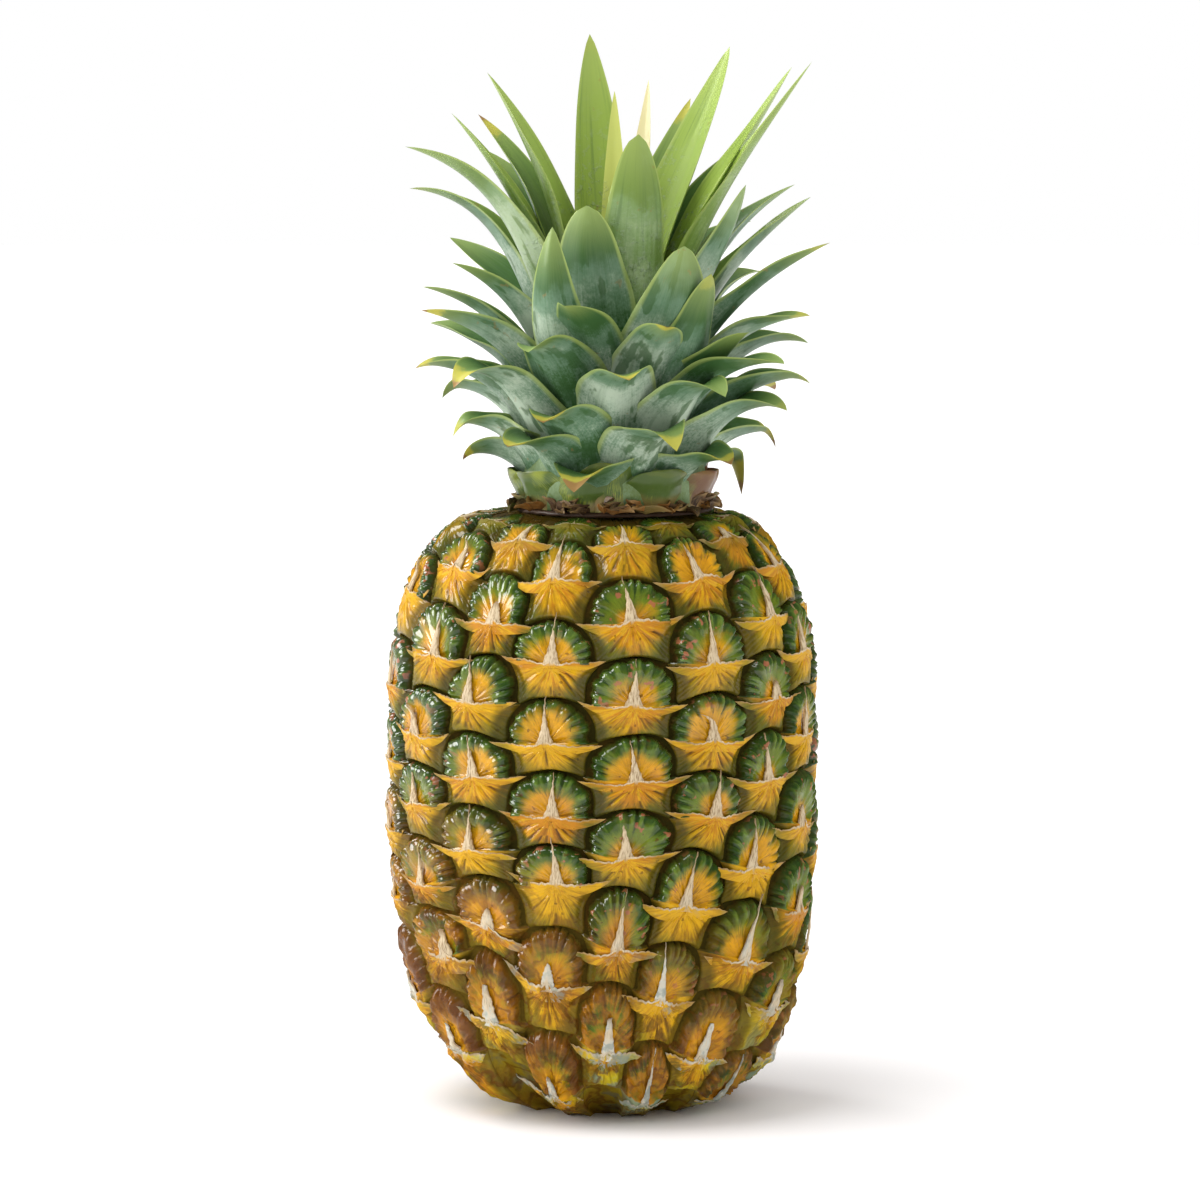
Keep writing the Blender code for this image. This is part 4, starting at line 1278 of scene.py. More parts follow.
@dataclass(frozen=True)
class PaperFinish:
    """Dry, fibrous bract tissue: pale tan, browner at its tips, and fleshy where it is the wing's face."""

    bract: BractSkin
    pale: Colour = (0.56, 0.45, 0.29)
    fibre: Colour = (0.21, 0.125, 0.055)
    tip: Colour = (0.15, 0.080, 0.028)
    tan: Colour = (0.36, 0.23, 0.085)
    bleached: Colour = (0.54, 0.53, 0.45)
    mould: Colour = (0.20, 0.24, 0.21)

    def material(self) -> Material:
        """The finish as a material.

        Returns:
            The material.
        """
        tree = ShaderTree("papery_bract")
        rise, noise = tree.rise, tree.noise
        is_spine, along, side = tree.parts("eye_mark")
        across, up, _ = tree.parts("eye_place")
        chance, _, chance_b = tree.parts("eye_lot")
        where = tree.place()
        _, _, height = tree.split(where)
        thread = tree.join(across * 16.0 + chance * 31.0, up * 1.6, chance_b * 12.0)
        fibres = noise(thread, 3.0, 3.0, 0.6)
        mottle = noise(where, 240.0, 3.0, 0.6)
        grain = mottle - 0.5
        flesh = self.bract.colour(tree, across, up, 0.0)
        spine = tree.layers(
            self.pale,
            (rise(fibres, 0.46, 0.66) * 0.9, self.fibre),
            (rise(along + grain * 0.3, 0.66, 1.02) * 0.75, self.tip),
            # Tan towards the spine's sides: partly its own brownish outline, partly painted shade on its
            # sloping sides.
            (rise(abs(side) + (fibres - 0.5) * 0.4, 0.72, 1.0) * 0.45, self.tan),
            (rise(along + (fibres - 0.5) * 0.14, 0.12, 0.02), flesh))
        dry = tree.layers(
            self.pale,
            (rise(side + grain * 0.4, 0.16, 0.62), self.tan),
            (rise(fibres + grain * 0.3, 0.50, 0.68) * 0.7, self.fibre))
        edge = rise(along + grain * 0.22 + side * 0.03, 0.80, 0.92)
        end = rise(side + grain * 0.3, 0.76, 0.98) * 0.8
        wing = tree.mix(tree.math("MAXIMUM", edge, end), flesh, dry)
        old = rise(height + (chance - 0.5) * 0.03, 0.066, 0.026)
        dried = tree.math("MAXIMUM", is_spine, edge * rise(side + grain * 0.5, 0.55, 0.25))
        patchy = rise(mottle + (fibres - 0.5) * 0.5, 0.42, 0.56)
        whitened = old * dried * (0.25 + 0.60 * patchy * is_spine + 0.25 * patchy)
        worn = rise(height + grain * 0.03, 0.036, 0.006) \
            * rise(mottle + along * 0.2, 0.58, 0.70)
        mouldy = old * rise(mottle + chance * 0.1, 0.56, 0.68)
        colour = tree.layers(tree.mix(is_spine, wing, spine), (whitened, self.bleached),
                             (worn * 0.5, self.bleached), (mouldy * 0.7, self.mould))
        return tree.finish(colour, 0.50 + 0.25 * mottle, fibres * 0.05 + mottle * 0.10, specular=0.2)


@dataclass(frozen=True)
class LeafFinish:
    """Leathery leaf skin: a pale bloom outside with rubbed patches, deeper green inside, light margins, and
    drops on the upper leaves that are paler with a painted sheen.
    """

    name: str
    bloom: Colour = (0.135, 0.240, 0.145)
    bloom_light: Colour = (0.45, 0.55, 0.42)
    rubbed: Colour = (0.040, 0.110, 0.028)
    inner: Colour = (0.065, 0.160, 0.030)
    heart: Colour = (0.30, 0.42, 0.070)
    margin: Colour = (0.36, 0.45, 0.12)
    tip: Colour = (0.46, 0.43, 0.060)
    dry: Colour = (0.30, 0.17, 0.050)
    root: Colour = (0.30, 0.34, 0.10)
    cream: Colour = (0.74, 0.66, 0.36)
    lime: Colour = (0.46, 0.56, 0.050)
    aged_lime: Colour = (0.25, 0.30, 0.015)
    aged_green: Colour = (0.060, 0.105, 0.010)
    aged_red: Colour = (0.17, 0.045, 0.018)

    def material(self) -> Material:
        """The finish as a material.

        Returns:
            The material.
        """
        tree = ShaderTree(self.name)
        rise, noise = tree.rise, tree.noise
        side, along, face = tree.parts("blade_place")
        chance, level, dryness = tree.parts("leaf_lot")
        where = tree.place()
        east, _, _ = tree.split(where)
        smoother = rise(along, 0.90, 0.35)
        thread = tree.join(side * 9.0 + chance * 40.0, along * 1.1, chance * 23.0)
        veins = 0.5 + (noise(thread, 4.2, 3.0, 0.65) - 0.5) * (0.3 + 0.7 * smoother)
        band = tree.join(side * 3.0 + chance * 70.0, along * 0.9, chance * 5.0)
        broad_veins = noise(band, 2.2, 2.0, 0.5)
        spread = tree.join(side * 1.4 + chance * 90.0, along * 2.6, chance * 11.0)
        patch = noise(spread, 1.7, 3.0, 0.45)
        cloud = noise(where, 62.0, 3.0, 0.55)
        mottle = noise(where, 260.0, 3.0, 0.6)
        grain = mottle - 0.5
        speckle = 0.5 + (noise(where, 1200.0, 2.0, 0.7) - 0.5) * smoother

        powder = tree.bell(along, 0.40, 0.55) * 0.34 + (cloud - 0.5) * 1.1 + (veins - 0.5) * 0.35
        powder = powder + (speckle - 0.5) * 0.45 + (chance - 0.5) * 0.25
        top = rise(level, 0.55, 0.95)
        outer = tree.layers(
            self.rubbed,
            (rise(powder, -0.06, 0.22), self.bloom),
            (rise(powder, 0.16, 0.52), self.bloom_light),
            (rise(patch + grain * 0.10, 0.56, 0.62) * 0.70, self.rubbed),
            (rise(level, 0.80, 1.0) * 0.65, self.heart))
        inner = tree.layers(
            self.inner,
            (rise(veins + (speckle - 0.5) * 0.4, 0.42, 0.76) * 0.55, self.bloom),
            (top * 0.90, self.heart))
        edge = rise(abs(side) + (veins - 0.5) * 0.10, 0.86, 0.97)
        green_end = rise(along + (veins - 0.5) * 0.3, 0.70, 1.05)
        end = rise(along + grain * 0.10 + (dryness - 0.5) * 0.14, 0.90, 0.94)
        burnt = rise(along + grain * 0.08 + (dryness - 0.5) * 0.12, 0.975, 1.0)
        aged = rise(level, -0.10, -0.20)
        old = tree.layers(
            self.aged_green,
            (rise(cloud + (veins - 0.5) * 0.6, 0.46, 0.66), self.aged_lime),
            (rise(east + grain * 0.006, 0.019, 0.024) * 0.85, self.aged_red),
            (rise(along + (cloud - 0.5) * 0.5, 0.40, 0.12) * 0.7, self.dry))
        # Drops on the upper leaves: real bumps and gloss, and a paler colour that is a painted sheen.
        drops_and_sheen = rise(noise(where, 480.0, 4.0, 0.7), 0.52, 0.64) * rise(level, 0.80, 0.95)
        drops_and_sheen = drops_and_sheen * rise(cloud, 0.36, 0.52) * smoother
        colour = tree.layers(
            tree.mix(rise(face, -0.25, 0.25), outer, inner),
            (rise(broad_veins, 0.52, 0.75) * 0.35, self.rubbed),
            (edge * 0.70, self.margin),
            (green_end * 0.60, self.margin),
            (end * rise(dryness, 0.25, 0.55), self.tip),
            (burnt * rise(dryness, 0.30, 0.6), self.dry),
            (rise(level, 1.10, 1.20), tree.mix(rise(chance, 0.4, 0.6), self.cream, self.lime)),
            (aged * 0.94, old),
            (rise(along, 0.10, 0.0) * 0.6, self.root),
            (rise(mottle + (cloud - 0.5) * 0.3, 0.68, 0.72) * 0.35, self.dry),
            (drops_and_sheen * 0.34, self.bloom_light))
        relief = (0.035 * veins + 0.12 * broad_veins + 0.09 * mottle) * smoother + 0.2 * drops_and_sheen
        return tree.finish(colour, 0.50 + 0.18 * mottle - 0.22 * top, relief,
                           coat=0.10 + 0.5 * drops_and_sheen + 0.25 * aged, coat_roughness=0.12)


@dataclass(frozen=True)
class BractFinish:
    """The collar's small bracts: brown, curled and dry, some with orange or green roots, and darker towards
    their roots with painted shade.
    """

    brown: Colour = (0.040, 0.018, 0.007)
    tan: Colour = (0.34, 0.21, 0.080)
    orange: Colour = (0.26, 0.105, 0.016)
    green: Colour = (0.060, 0.085, 0.015)

    def material(self) -> Material:
        """The finish as a material.

        Returns:
            The material.
        """
        tree = ShaderTree("dry_collar")
        rise, noise = tree.rise, tree.noise
        side, along, _ = tree.parts("blade_place")
        chance, _, dryness = tree.parts("leaf_lot")
        thread = tree.join(side * 6.0 + chance * 31.0, along * 1.5, chance * 12.0)
        fibres = noise(thread, 3.0, 3.0, 0.6)
        mottle = noise(tree.place(), 300.0, 3.0, 0.6)
        grain = mottle - 0.5
        colour = tree.layers(
            self.brown,
            (rise(chance, 0.25, 0.60), self.orange),
            (rise(chance, 0.70, 0.90), self.green),
            (rise(fibres, 0.45, 0.70) * 0.6, self.tan),
            (rise(along + grain * 0.4, 0.60, 1.0) * dryness, self.tan),
            # Painted shade under the collar: the bracts darken towards their roots.
            (rise(along, 0.45, 0.0) * 0.7, self.brown))
        return tree.finish(colour, 0.45 + 0.3 * mottle, fibres * 0.08 + mottle * 0.10, coat=0.1)


@dataclass(frozen=True)
class StalkFinish:
    """The cut end of the stalk: pale pith with dark bundles, and a brown rim."""

    pith: Colour = (0.50, 0.37, 0.19)
    bundle: Colour = (0.22, 0.125, 0.045)
    rim: Colour = (0.16, 0.095, 0.035)
    radius: float = 0.013

    def material(self) -> Material:
        """The finish as a material.

        Returns:
            The material.
        """
        tree = ShaderTree("cut_stalk")
        rise, noise = tree.rise, tree.noise
        where = tree.place()
        east, north, _ = tree.split(where)
        out = (east * east + north * north) ** 0.5
        dots = noise(tree.join(east, north, 0.0), 1500.0, 2.0, 0.5)
        rings = noise(tree.join(out * 6.0, 0.0, 0.0), 160.0, 2.0, 0.5)
        stain = noise(where, 210.0, 3.0, 0.6)
        colour = tree.layers(
            self.pith,
            (rise(dots, 0.54, 0.66), self.bundle),
            (rise(rings + (stain - 0.5) * 0.6, 0.50, 0.75) * 0.5, self.bundle),
            (rise(out + (stain - 0.5) * 0.003, self.radius * 0.80, self.radius * 0.97), self.rim))
        return tree.finish(colour, 0.75 + 0.15 * stain, dots * 0.08 + stain * 0.15)


@dataclass
class Leaf:
    """One leaf of the crown: where it starts and ends round the crown's axis, and how it is shaped."""

    turn: float
    root: Pair
    tip: Pair
    root_rise: float
    tip_rise: float
    width: float
    bluntness: float
    level: float
    sweep: float = 0.0
    curl: float = 0.0
    twist: float = 0.0
    dryness: float = 0.0
    pull: float = 0.40

    def row(self, number: int) -> dict[str, object]:
        """The leaf as attributes of a point.

        Args:
            number: The leaf's number, for its draws.

        Returns:
            Each attribute's value.
        """
        length = math.dist(self.root, self.tip) * self.pull
        rises = math.radians(self.root_rise), math.radians(self.tip_rise)
        near = (self.root[0] + length * math.cos(rises[0]), self.root[1] + length * math.sin(rises[0]))
        far = (self.tip[0] - length * math.cos(rises[1]), self.tip[1] - length * math.sin(rises[1]))
        return {"root": (*self.root, 0.0), "near": (*near, 0.0), "far": (*far, 0.0),
                "tip": (*self.tip, 0.0),
                "turn": float(self.turn), "sweep": float(self.sweep), "width": self.width,
                "blunt": float(self.bluntness), "curl": float(self.curl), "twist": math.radians(self.twist),
                "phase": 3.1 * wander(number, 51),
                "lot": (wander(number, 52) * 0.5 + 0.5, self.level, self.dryness)}


@dataclass(frozen=True)
class BladeShape:
    """The flat net of a leaf blade: across it, along it, and its inner and outer face."""

    along_points: int = 37
    across_points: int = 13

    def pattern(self, name: str) -> Piece:
        """The net as an object outside the scene.

        Args:
            name: The object's name.

        Returns:
            The object.
        """
        across = np.sin(np.linspace(-0.5, 0.5, self.across_points) * math.pi)
        along = np.linspace(0.0, 1.0, self.along_points) ** 0.92
        grid = np.array([(side, share) for share in along for side in across])
        places = np.concatenate([np.column_stack([grid, np.full(len(grid), face)]) for face in (1.0, -1.0)])
        return pattern_object(name, places, slab_faces(self.along_points, self.across_points),
                              {"blade": places})


class LeafTree(FieldTree):
    """Grows leaves: bends a flat blade along each leaf's line, with its outline, channel and thickness."""

    def __init__(self, axis: Vector, blade: Piece, material: Material,
                 thickness: Pair = (0.0030, 0.0008),
                 channel: Pair = (0.30, 0.15), waves: float = 0.045) -> None:
        """Builds the tree.

        Args:
            axis: The middle of the crown's foot.
            blade: The flat net of a blade.
            material: The finish.
            thickness: The blade's thickness at its root and at its tip.
            channel: How deep it is channelled there, as a share of its width.
            waves: How much its margins wave, as a share of its width.
        """
        super().__init__("grow_leaves")
        shape = self.size("Blade", blade, "Object")
        root_thick = self.size("Thickness at the root", thickness[0])
        tip_thick = self.size("Thickness at the tip", thickness[1])
        root_channel = self.size("Channel at the root", channel[0])
        tip_channel = self.size("Channel at the tip", channel[1])
        wave = self.size("Waves of the margin", waves)
        fold_from = self.size("Share where the tip folds over", 0.86)
        dress = self.size("Finish", material, "Material")

        flat = self.term("GeometryNodeObjectInfo", None, {"Object": shape}, "Geometry")
        copies = self.term("GeometryNodeInstanceOnPoints", None, {"Points": self.start(), "Instance": flat})
        real = self.term("GeometryNodeRealizeInstances", None, {"Geometry": copies})
        side, share, face = self.split(self.own("blade", "FLOAT_VECTOR"))
        reach, height, run, climb = self.line(share)
        steepness = self.math("ARCTAN2", climb, run)
        lean_in, lean_up = self.math("SINE", steepness), self.math("COSINE", steepness)
        blunt, width = self.own("blunt"), self.own("width")
        outline = (1.0 - share ** (2.1 + 1.5 * blunt)) ** (0.80 - 0.25 * blunt)
        half = 0.5 * width * outline * (0.84 + 0.16 * self.rise(share, 0.0, 0.30)) / 0.95
        edge = abs(side)
        channel_here = root_channel + (tip_channel - root_channel) * share
        phase = self.own("phase")
        ripple = self.math("SINE", share * 13.0 + phase) * self.math("SINE", side * 1.3 + phase * 2.0)
        lift = half * 2.0 * (channel_here * edge**1.5 + wave * ripple * edge * edge)
        thick = (root_thick + (tip_thick - root_thick) * share) * (1.0 - 0.92 * edge * edge) \
            * (1.0 - share**10.0)
        out_x = side * half
        out_y = lift + face * 0.5 * thick - 0.2 * thick
        twist = self.own("twist") * share
        turned_x = out_x * self.math("COSINE", twist) - out_y * self.math("SINE", twist)
        turned_y = out_x * self.math("SINE", twist) + out_y * self.math("COSINE", twist)
        east, south = self.direction(self.own("turn") + self.own("sweep") * share * share)
        over = self.math("MAXIMUM", share - fold_from, 0.0)
        reach = reach - turned_y * lean_in
        height = height + turned_y * lean_up - self.own("curl") * over * over
        place = self.join(axis.x + east * reach + south * turned_x, east * turned_x - south * reach,
                          axis.z + height)
        moved = self.term("GeometryNodeSetPosition", None, {"Geometry": real, "Position": place})
        moved = self.keep(moved, "blade_place", self.own("blade", "FLOAT_VECTOR"))
        moved = self.keep(moved, "leaf_lot", self.own("lot", "FLOAT_VECTOR"))
        merged = self.term("GeometryNodeMergeByDistance", None, {"Geometry": moved, "Distance": 2e-5})
        self.close(merged, dress)

    def line(self, share: Term) -> tuple[Term, Term, Term, Term]:
        """The leaf's middle line.

        Args:
            share: How far along it.

        Returns:
            Its reach and height, and how fast both change.
        """
        rest = 1.0 - share
        weights = (rest**3.0, 3.0 * rest * rest * share, 3.0 * rest * share * share, share**3.0)
        slopes = (-3.0 * rest * rest, 3.0 * rest * (rest - 2.0 * share), 3.0 * share * (2.0 * rest - share),
                  3.0 * share * share)
        parts = [self.split(self.own(name, "FLOAT_VECTOR")) for name in ("root", "near", "far", "tip")]
        sums = []
        for factors in (weights, slopes):
            for axis in (0, 1):
                total = factors[0] * parts[0][axis]
                for factor, part in zip(factors[1:], parts[1:]):
                    total = total + factor * part[axis]
                sums.append(total)
        return tuple(sums)


def turned_piece(name: str, rings: Rings, middle: Vector, sides: int, is_ring: bool = False,
                 unevenness: float = 0.0) -> Piece:
    """A piece turned about an upright axis: a solid with flat ends, or a closed ring.

    Args:
        name: Its name.
        rings: Radius and height of its points, from the bottom up or round the ring's section.
        middle: The middle of its foot.
        sides: How many points it has round the axis.
        is_ring: True for a closed ring.
        unevenness: How far a point is off its radius at the most.

    Returns:
        The piece.
    """
    points, faces = [], []
    for radius, height in rings:
        for side in range(sides):
            angle = 2.0 * math.pi * side / sides
            reach = radius + unevenness * wander(side, radius / MM, 81)
            points.append((middle.x + reach * math.sin(angle), middle.y - reach * math.cos(angle),
                           middle.z + height))
    if not is_ring:
        faces = [list(reversed(range(sides))), list(range(len(points) - sides, len(points)))]
    for level in range(len(rings) if is_ring else len(rings) - 1):
        low, high = level * sides, (level + 1) % len(rings) * sides
        for side in range(sides):
            after = (side + 1) % sides
            faces.append([low + side, low + after, high + after, high + side])
    mesh = bpy.data.meshes.new(name)
    mesh.from_pydata(points, [], faces)
    made = bpy.data.objects.new(name, mesh)
    bpy.context.scene.collection.objects.link(made)
    return made


def dress(piece: Piece, finish: Material, vectors: dict[str, tuple[float, float, float]]) -> None:
    """Gives a smooth piece its finish, and the finish the same vectors all over the piece.

    Args:
        piece: The piece.
        finish: Its finish.
        vectors: The vector of each face-corner attribute that the finish reads.
    """
    for title, vector in vectors.items():
        made = piece.data.attributes.new(title, "FLOAT_VECTOR", "CORNER")
        corners = np.tile(np.array(vector, dtype=np.float32), len(piece.data.loops))
        made.data.foreach_set("vector", corners)
    piece.data.materials.append(finish)
    piece.data.shade_smooth()


def shade(piece: Piece) -> Piece:
    """Shades a piece smooth and leaves its sharp edges sharp."""
    piece.data.shade_smooth()
    piece.data.set_sharp_from_angle(angle=SHARP_ANGLE)
    return piece


def open_loops(work: bmesh.types.BMesh) -> list[list[bmesh.types.BMVert]]:
    """The mesh's open edges as loops, the lowest first.

    Args:
        work: The mesh.

    Returns:
        Each loop's points in order.
    """
    left = {edge for edge in work.edges if edge.is_boundary}
    loops = []
    while left:
        edge = min(left, key=lambda edge: edge.index)
        left.discard(edge)
        loop = list(edge.verts)
        while loop[-1] is not loop[0]:
            following = next(other for other in loop[-1].link_edges if other in left)
            left.discard(following)
            loop.append(following.other_vert(loop[-1]))
        loops.append(loop[:-1])
    return sorted(loops, key=lambda loop: sum(point.co.z for point in loop) / len(loop))


def close_loop(work: bmesh.types.BMesh, loop: list[bmesh.types.BMVert], rings: Rings,
               middle: float) -> None:
    """Closes an open loop by rings round the fruit's axis and a flat end, marked as the floor of a groove.

    Args:
        work: The mesh.
        loop: The loop's points in order.
        rings: Radius and height of each ring.
        middle: Where the axis is along X.
    """
    outer = loop
    dress = loop[0].link_faces[0].material_index
    made = []
    for radius, height in rings:
        inner = []
        for point in loop:
            angle = math.atan2(point.co.x - middle, -point.co.y)
            place = (middle + radius * math.sin(angle), -radius * math.cos(angle), height)
            inner.append(work.verts.new(place))
        for k in range(len(loop)):
            after = (k + 1) % len(loop)
            made.append(work.faces.new((outer[k], outer[after], inner[after], inner[k])))
        outer = inner
    made.append(work.faces.new(outer))
    mark = work.loops.layers.float_vector["eye_mark"]
    body = work.loops.layers.float_vector["eye_body"]
    for face in made:
        face.material_index = dress
        for corner in face.loops:
            corner[mark] = GROOVE_MARK
            corner[body] = GROOVE_BODY


@dataclass
class Rind:
    """The fruit's skin: eyes in relief, made in three bands, each closed where the next one meets it."""

    form: FruitForm
    bands: tuple[tuple[str, int, int], ...] = (
        ("rind_low", 0, 4), ("rind_middle", 5, 9), ("rind_high", 10, 14))
    variants: int = 12
    first_seed: int = 100
    same_point: float = 2e-5
    core_radius: float = 0.030

    def build(self, outline: Piece) -> list[Piece]:
        """Makes the bands.

        Args:
            outline: The fruit's outline curve.

        Returns:
            The bands from the bottom up.
        """
        eye = EyeShape(self.form.top_corner)
        shapes = bpy.data.collections.new("eye_shapes")
        for number in range(self.variants):
            shapes.objects.link(eye.variant(f"eye_{number}", self.first_seed + number))
        finish = RindFinish(BractSkin(), eye).material()
        tree = WrapTree(self.form, shapes, outline, finish, self.same_point)
        made = []
        for name, first, last in self.bands:
            band = tree.grow(name, self.form.eyes(first, last, self.variants))
            self.close(band, first == 0, last == self.form.rows - 1)
            made.append(band)
        return made

    def close(self, band: Piece, is_lowest: bool, is_highest: bool) -> None:
        """Closes a band's two open loops.

        Args:
            band: The band.
            is_lowest: True for the one that has the base.
            is_highest: True for the one that has the neck.
        """
        form = self.form
        work = bmesh.new()
        work.from_mesh(band.data)
        low, high = open_loops(work)
        for loop, is_end in ((low, is_lowest), (high, is_highest)):
            rings, middle = ((self.core_radius, sum(point.co.z for point in loop) / len(loop)),), form.lean
            if is_end and loop is low:
                rings = ((form.foot_radius, 0.0), (form.stalk_hole_radius, 0.0),
                         (form.stalk_hole_radius, form.stalk_hole_depth))
                middle = 0.0
            elif is_end:
                rings = ((form.top_flat_radius, form.height),)
            close_loop(work, loop, rings, middle)
        bmesh.ops.recalc_face_normals(work, faces=work.faces[:])
        work.to_mesh(band.data)
        work.free()
        band.data.shade_smooth()


@dataclass
class Spines:
    """The papery spines and dry margins of all eyes, some of a shape given by row and place."""

    form: FruitForm
    tips: tuple[Tip, ...] = (
        Tip.WHOLE, Tip.LEANING, Tip.WHOLE, Tip.BENT, Tip.WHOLE, Tip.WHOLE, Tip.LEANING, Tip.BROKEN, Tip.WHOLE)
    low_tips: tuple[Tip, ...] = (Tip.STUB, Tip.BROKEN, Tip.STUB, Tip.LEANING, Tip.STUB)
    low_until: float = 0.18
    placed: tuple[tuple[int, int, int], ...] = (
        (8, 1, 3), (10, 0, 0), (13, 0, 4), (3, 7, 7), (2, 0, 10), (1, 7, 9))
    first_seed: int = 300
    same_point: float = 1e-7

    def build(self, outline: Piece) -> Piece:
        """Makes the spines.

        Args:
            outline: The fruit's outline curve.

        Returns:
            The piece.
        """
        shape = SpineShape(EyeShape(self.form.top_corner))
        shapes = bpy.data.collections.new("spine_shapes")
        for number, tip in enumerate(self.tips + self.low_tips):
            shapes.objects.link(shape.variant(f"spine_{number:02d}", tip, self.first_seed + number))
        finish = PaperFinish(BractSkin()).material()
        tree = WrapTree(self.form, shapes, outline, finish, self.same_point)
        columns = self.form.eyes(0, self.form.rows - 1, len(self.tips))
        low = len(self.tips) + columns["variant"] % len(self.low_tips)
        columns["variant"] = np.where(columns["lot"][:, 1] < self.low_until, low, columns["variant"])
        for row, place, number in self.placed:
            columns["variant"][row * self.form.eyes_per_row + place] = number
        return shade(tree.grow("bract_spines", columns))


@dataclass
class Crown:
    """The leafy crown: its stem, the spiral of leaves, the upper leaves and the short ones at its foot."""

    axis: Vector
    stem: Rings = ((0.0246, 0.0004), (0.0256, 0.009), (0.0236, 0.016), (0.0186, 0.026),
                   (0.0124, 0.042), (0.0062, 0.058), (0.0022, 0.068))
    stem_sides: int = 48
    golden_angle: float = 137.508
    spiral_leaves: int = 66
    phase: float = -8.0
    root_depth: float = 0.0040
    root_heights: Row = (0.0030, 0.0100, 0.0185, 0.0270, 0.0350, 0.0430)
    tip_reaches: Row = (0.0400, 0.0500, 0.0560, 0.0575, 0.0540, 0.0400)
    tip_heights: Row = (0.0130, 0.0290, 0.0460, 0.0700, 0.0960, 0.1120)
    root_rises: Row = (76.0, 68.0, 62.0, 64.0, 70.0, 78.0)
    tip_rises: Row = (-20.0, -20.0, -10.0, 10.0, 35.0, 60.0)
    widths: Row = (0.0220, 0.0215, 0.0210, 0.0195, 0.0170, 0.0150)
    bluntnesses: Row = (0.5, 0.4, 0.3, 0.2, 0.1, 0.1)
    clear_from: float = 0.55
    clear_angle: float = 112.0
    low_until: float = 0.45
    spiral_level: float = 0.75
    stray_turn: float = 4.0
    stray_reach: float = 0.06
    stray_height: float = 0.0030
    stray_root_rise: float = 4.0
    stray_tip_rise: float = 14.0
    stray_width: float = 0.06
    sweep: float = 9.0
    curl: float = 0.36
    twist: float = 14.0
    upper: tuple[Row, ...] = (
        (200.0, 0.020, 0.1305, 0.046, 0.0175, 84.0, 86.0, 0.3),
        (130.0, 0.042, 0.1270, 0.044, 0.0185, 80.0, 68.0, 0.3),
        (252.0, 0.037, 0.1200, 0.042, 0.0170, 80.0, 56.0, 0.2),
        (102.0, 0.050, 0.1215, 0.040, 0.0150, 76.0, 58.0, 0.1),
        (88.0, 0.054, 0.1230, 0.038, 0.0130, 76.0, 54.0, 0.0),
        (21.0, 0.018, 0.1035, 0.042, 0.0190, 66.0, 96.0, 1.0),
        (-17.0, 0.026, 0.0845, 0.036, 0.0215, 56.0, 96.0, 1.0),
        (-27.0, 0.037, 0.0790, 0.026, 0.0200, 40.0, 104.0, 0.1),
        (27.0, 0.041, 0.0740, 0.030, 0.0220, 46.0, 88.0, 0.9),
        (37.0, 0.043, 0.0665, 0.024, 0.0205, 42.0, 70.0, 0.3),
        (50.0, 0.047, 0.0505, 0.021, 0.0205, 44.0, 30.0, 0.8),
        (180.0, 0.006, 0.1150, 0.054, 0.0080, 88.0, 88.0, 0.0),
        (150.0, 0.019, 0.1180, 0.052, 0.0085, 80.0, 84.0, 0.0),
        (266.0, 0.045, 0.1090, 0.038, 0.0140, 74.0, 48.0, 0.1),
        (280.0, 0.058, 0.1000, 0.034, 0.0190, 70.0, 14.0, 0.2),
        (258.0, 0.058, 0.0880, 0.031, 0.0170, 66.0, 2.0, 0.2),
        (298.0, 0.050, 0.0690, 0.029, 0.0180, 60.0, 20.0, 0.2),
        (272.0, 0.053, 0.0615, 0.026, 0.0165, 60.0, 10.0, 0.2),
        (60.0, 0.041, 0.0900, 0.034, 0.0165, 66.0, 70.0, 0.2),
        (92.0, 0.054, 0.0860, 0.032, 0.0160, 66.0, 36.0, 0.2),
        (78.0, 0.060, 0.0740, 0.029, 0.0170, 60.0, 24.0, 0.2))
    full_height: float = 0.125
    pale_width: float = 0.010
    pale_level: float = 1.3
    foot_leaves: int = 11
    foot_root: Pair = (0.0245, 0.0008)
    foot_tip: Pair = (0.0288, 0.0125)
    foot_width: float = 0.0235
    foot_level: float = -0.3

    def stem_radius(self, height: float) -> float:
        """The stem's radius at this height over the fruit's top."""
        return float(np.interp(height, [z for r, z in self.stem], [r for r, z in self.stem]))

    def spiral(self) -> list[Leaf]:
        """The leaves of the spiral.

        Returns:
            The leaves from the lowest up.
        """
        leaves = []
        for number in range(self.spiral_leaves):
            share = number / (self.spiral_leaves - 1)
            turn = (self.phase + self.golden_angle * number) % 360.0
            if share > self.clear_from and min(turn, 360.0 - turn) < self.clear_angle:
                continue
            root_height = between(self.root_heights, share)
            low = 1.0 - smooth(share / self.low_until)
            reach = between(self.tip_reaches, share) * (1.0 + self.stray_reach * wander(number, 1))
            leaves.append(Leaf(
                turn=turn + self.stray_turn * wander(number, 3),
                root=(self.stem_radius(root_height) - self.root_depth, root_height),
                tip=(reach, between(self.tip_heights, share) + self.stray_height * wander(number, 2)),
                root_rise=between(self.root_rises, share) + self.stray_root_rise * wander(number, 4),
                tip_rise=between(self.tip_rises, share) + self.stray_tip_rise * wander(number, 5),
                width=between(self.widths, share) * (1.0 + self.stray_width * wander(number, 6)),
                bluntness=between(self.bluntnesses, share), level=self.spiral_level * share,
                sweep=self.sweep * wander(number, 7), twist=self.twist * wander(number, 10),
                curl=self.curl * low * (0.6 + 0.8 * wander(number, 8)),
                dryness=0.28 + 0.40 * low + 0.35 * wander(number, 16)))
        return leaves

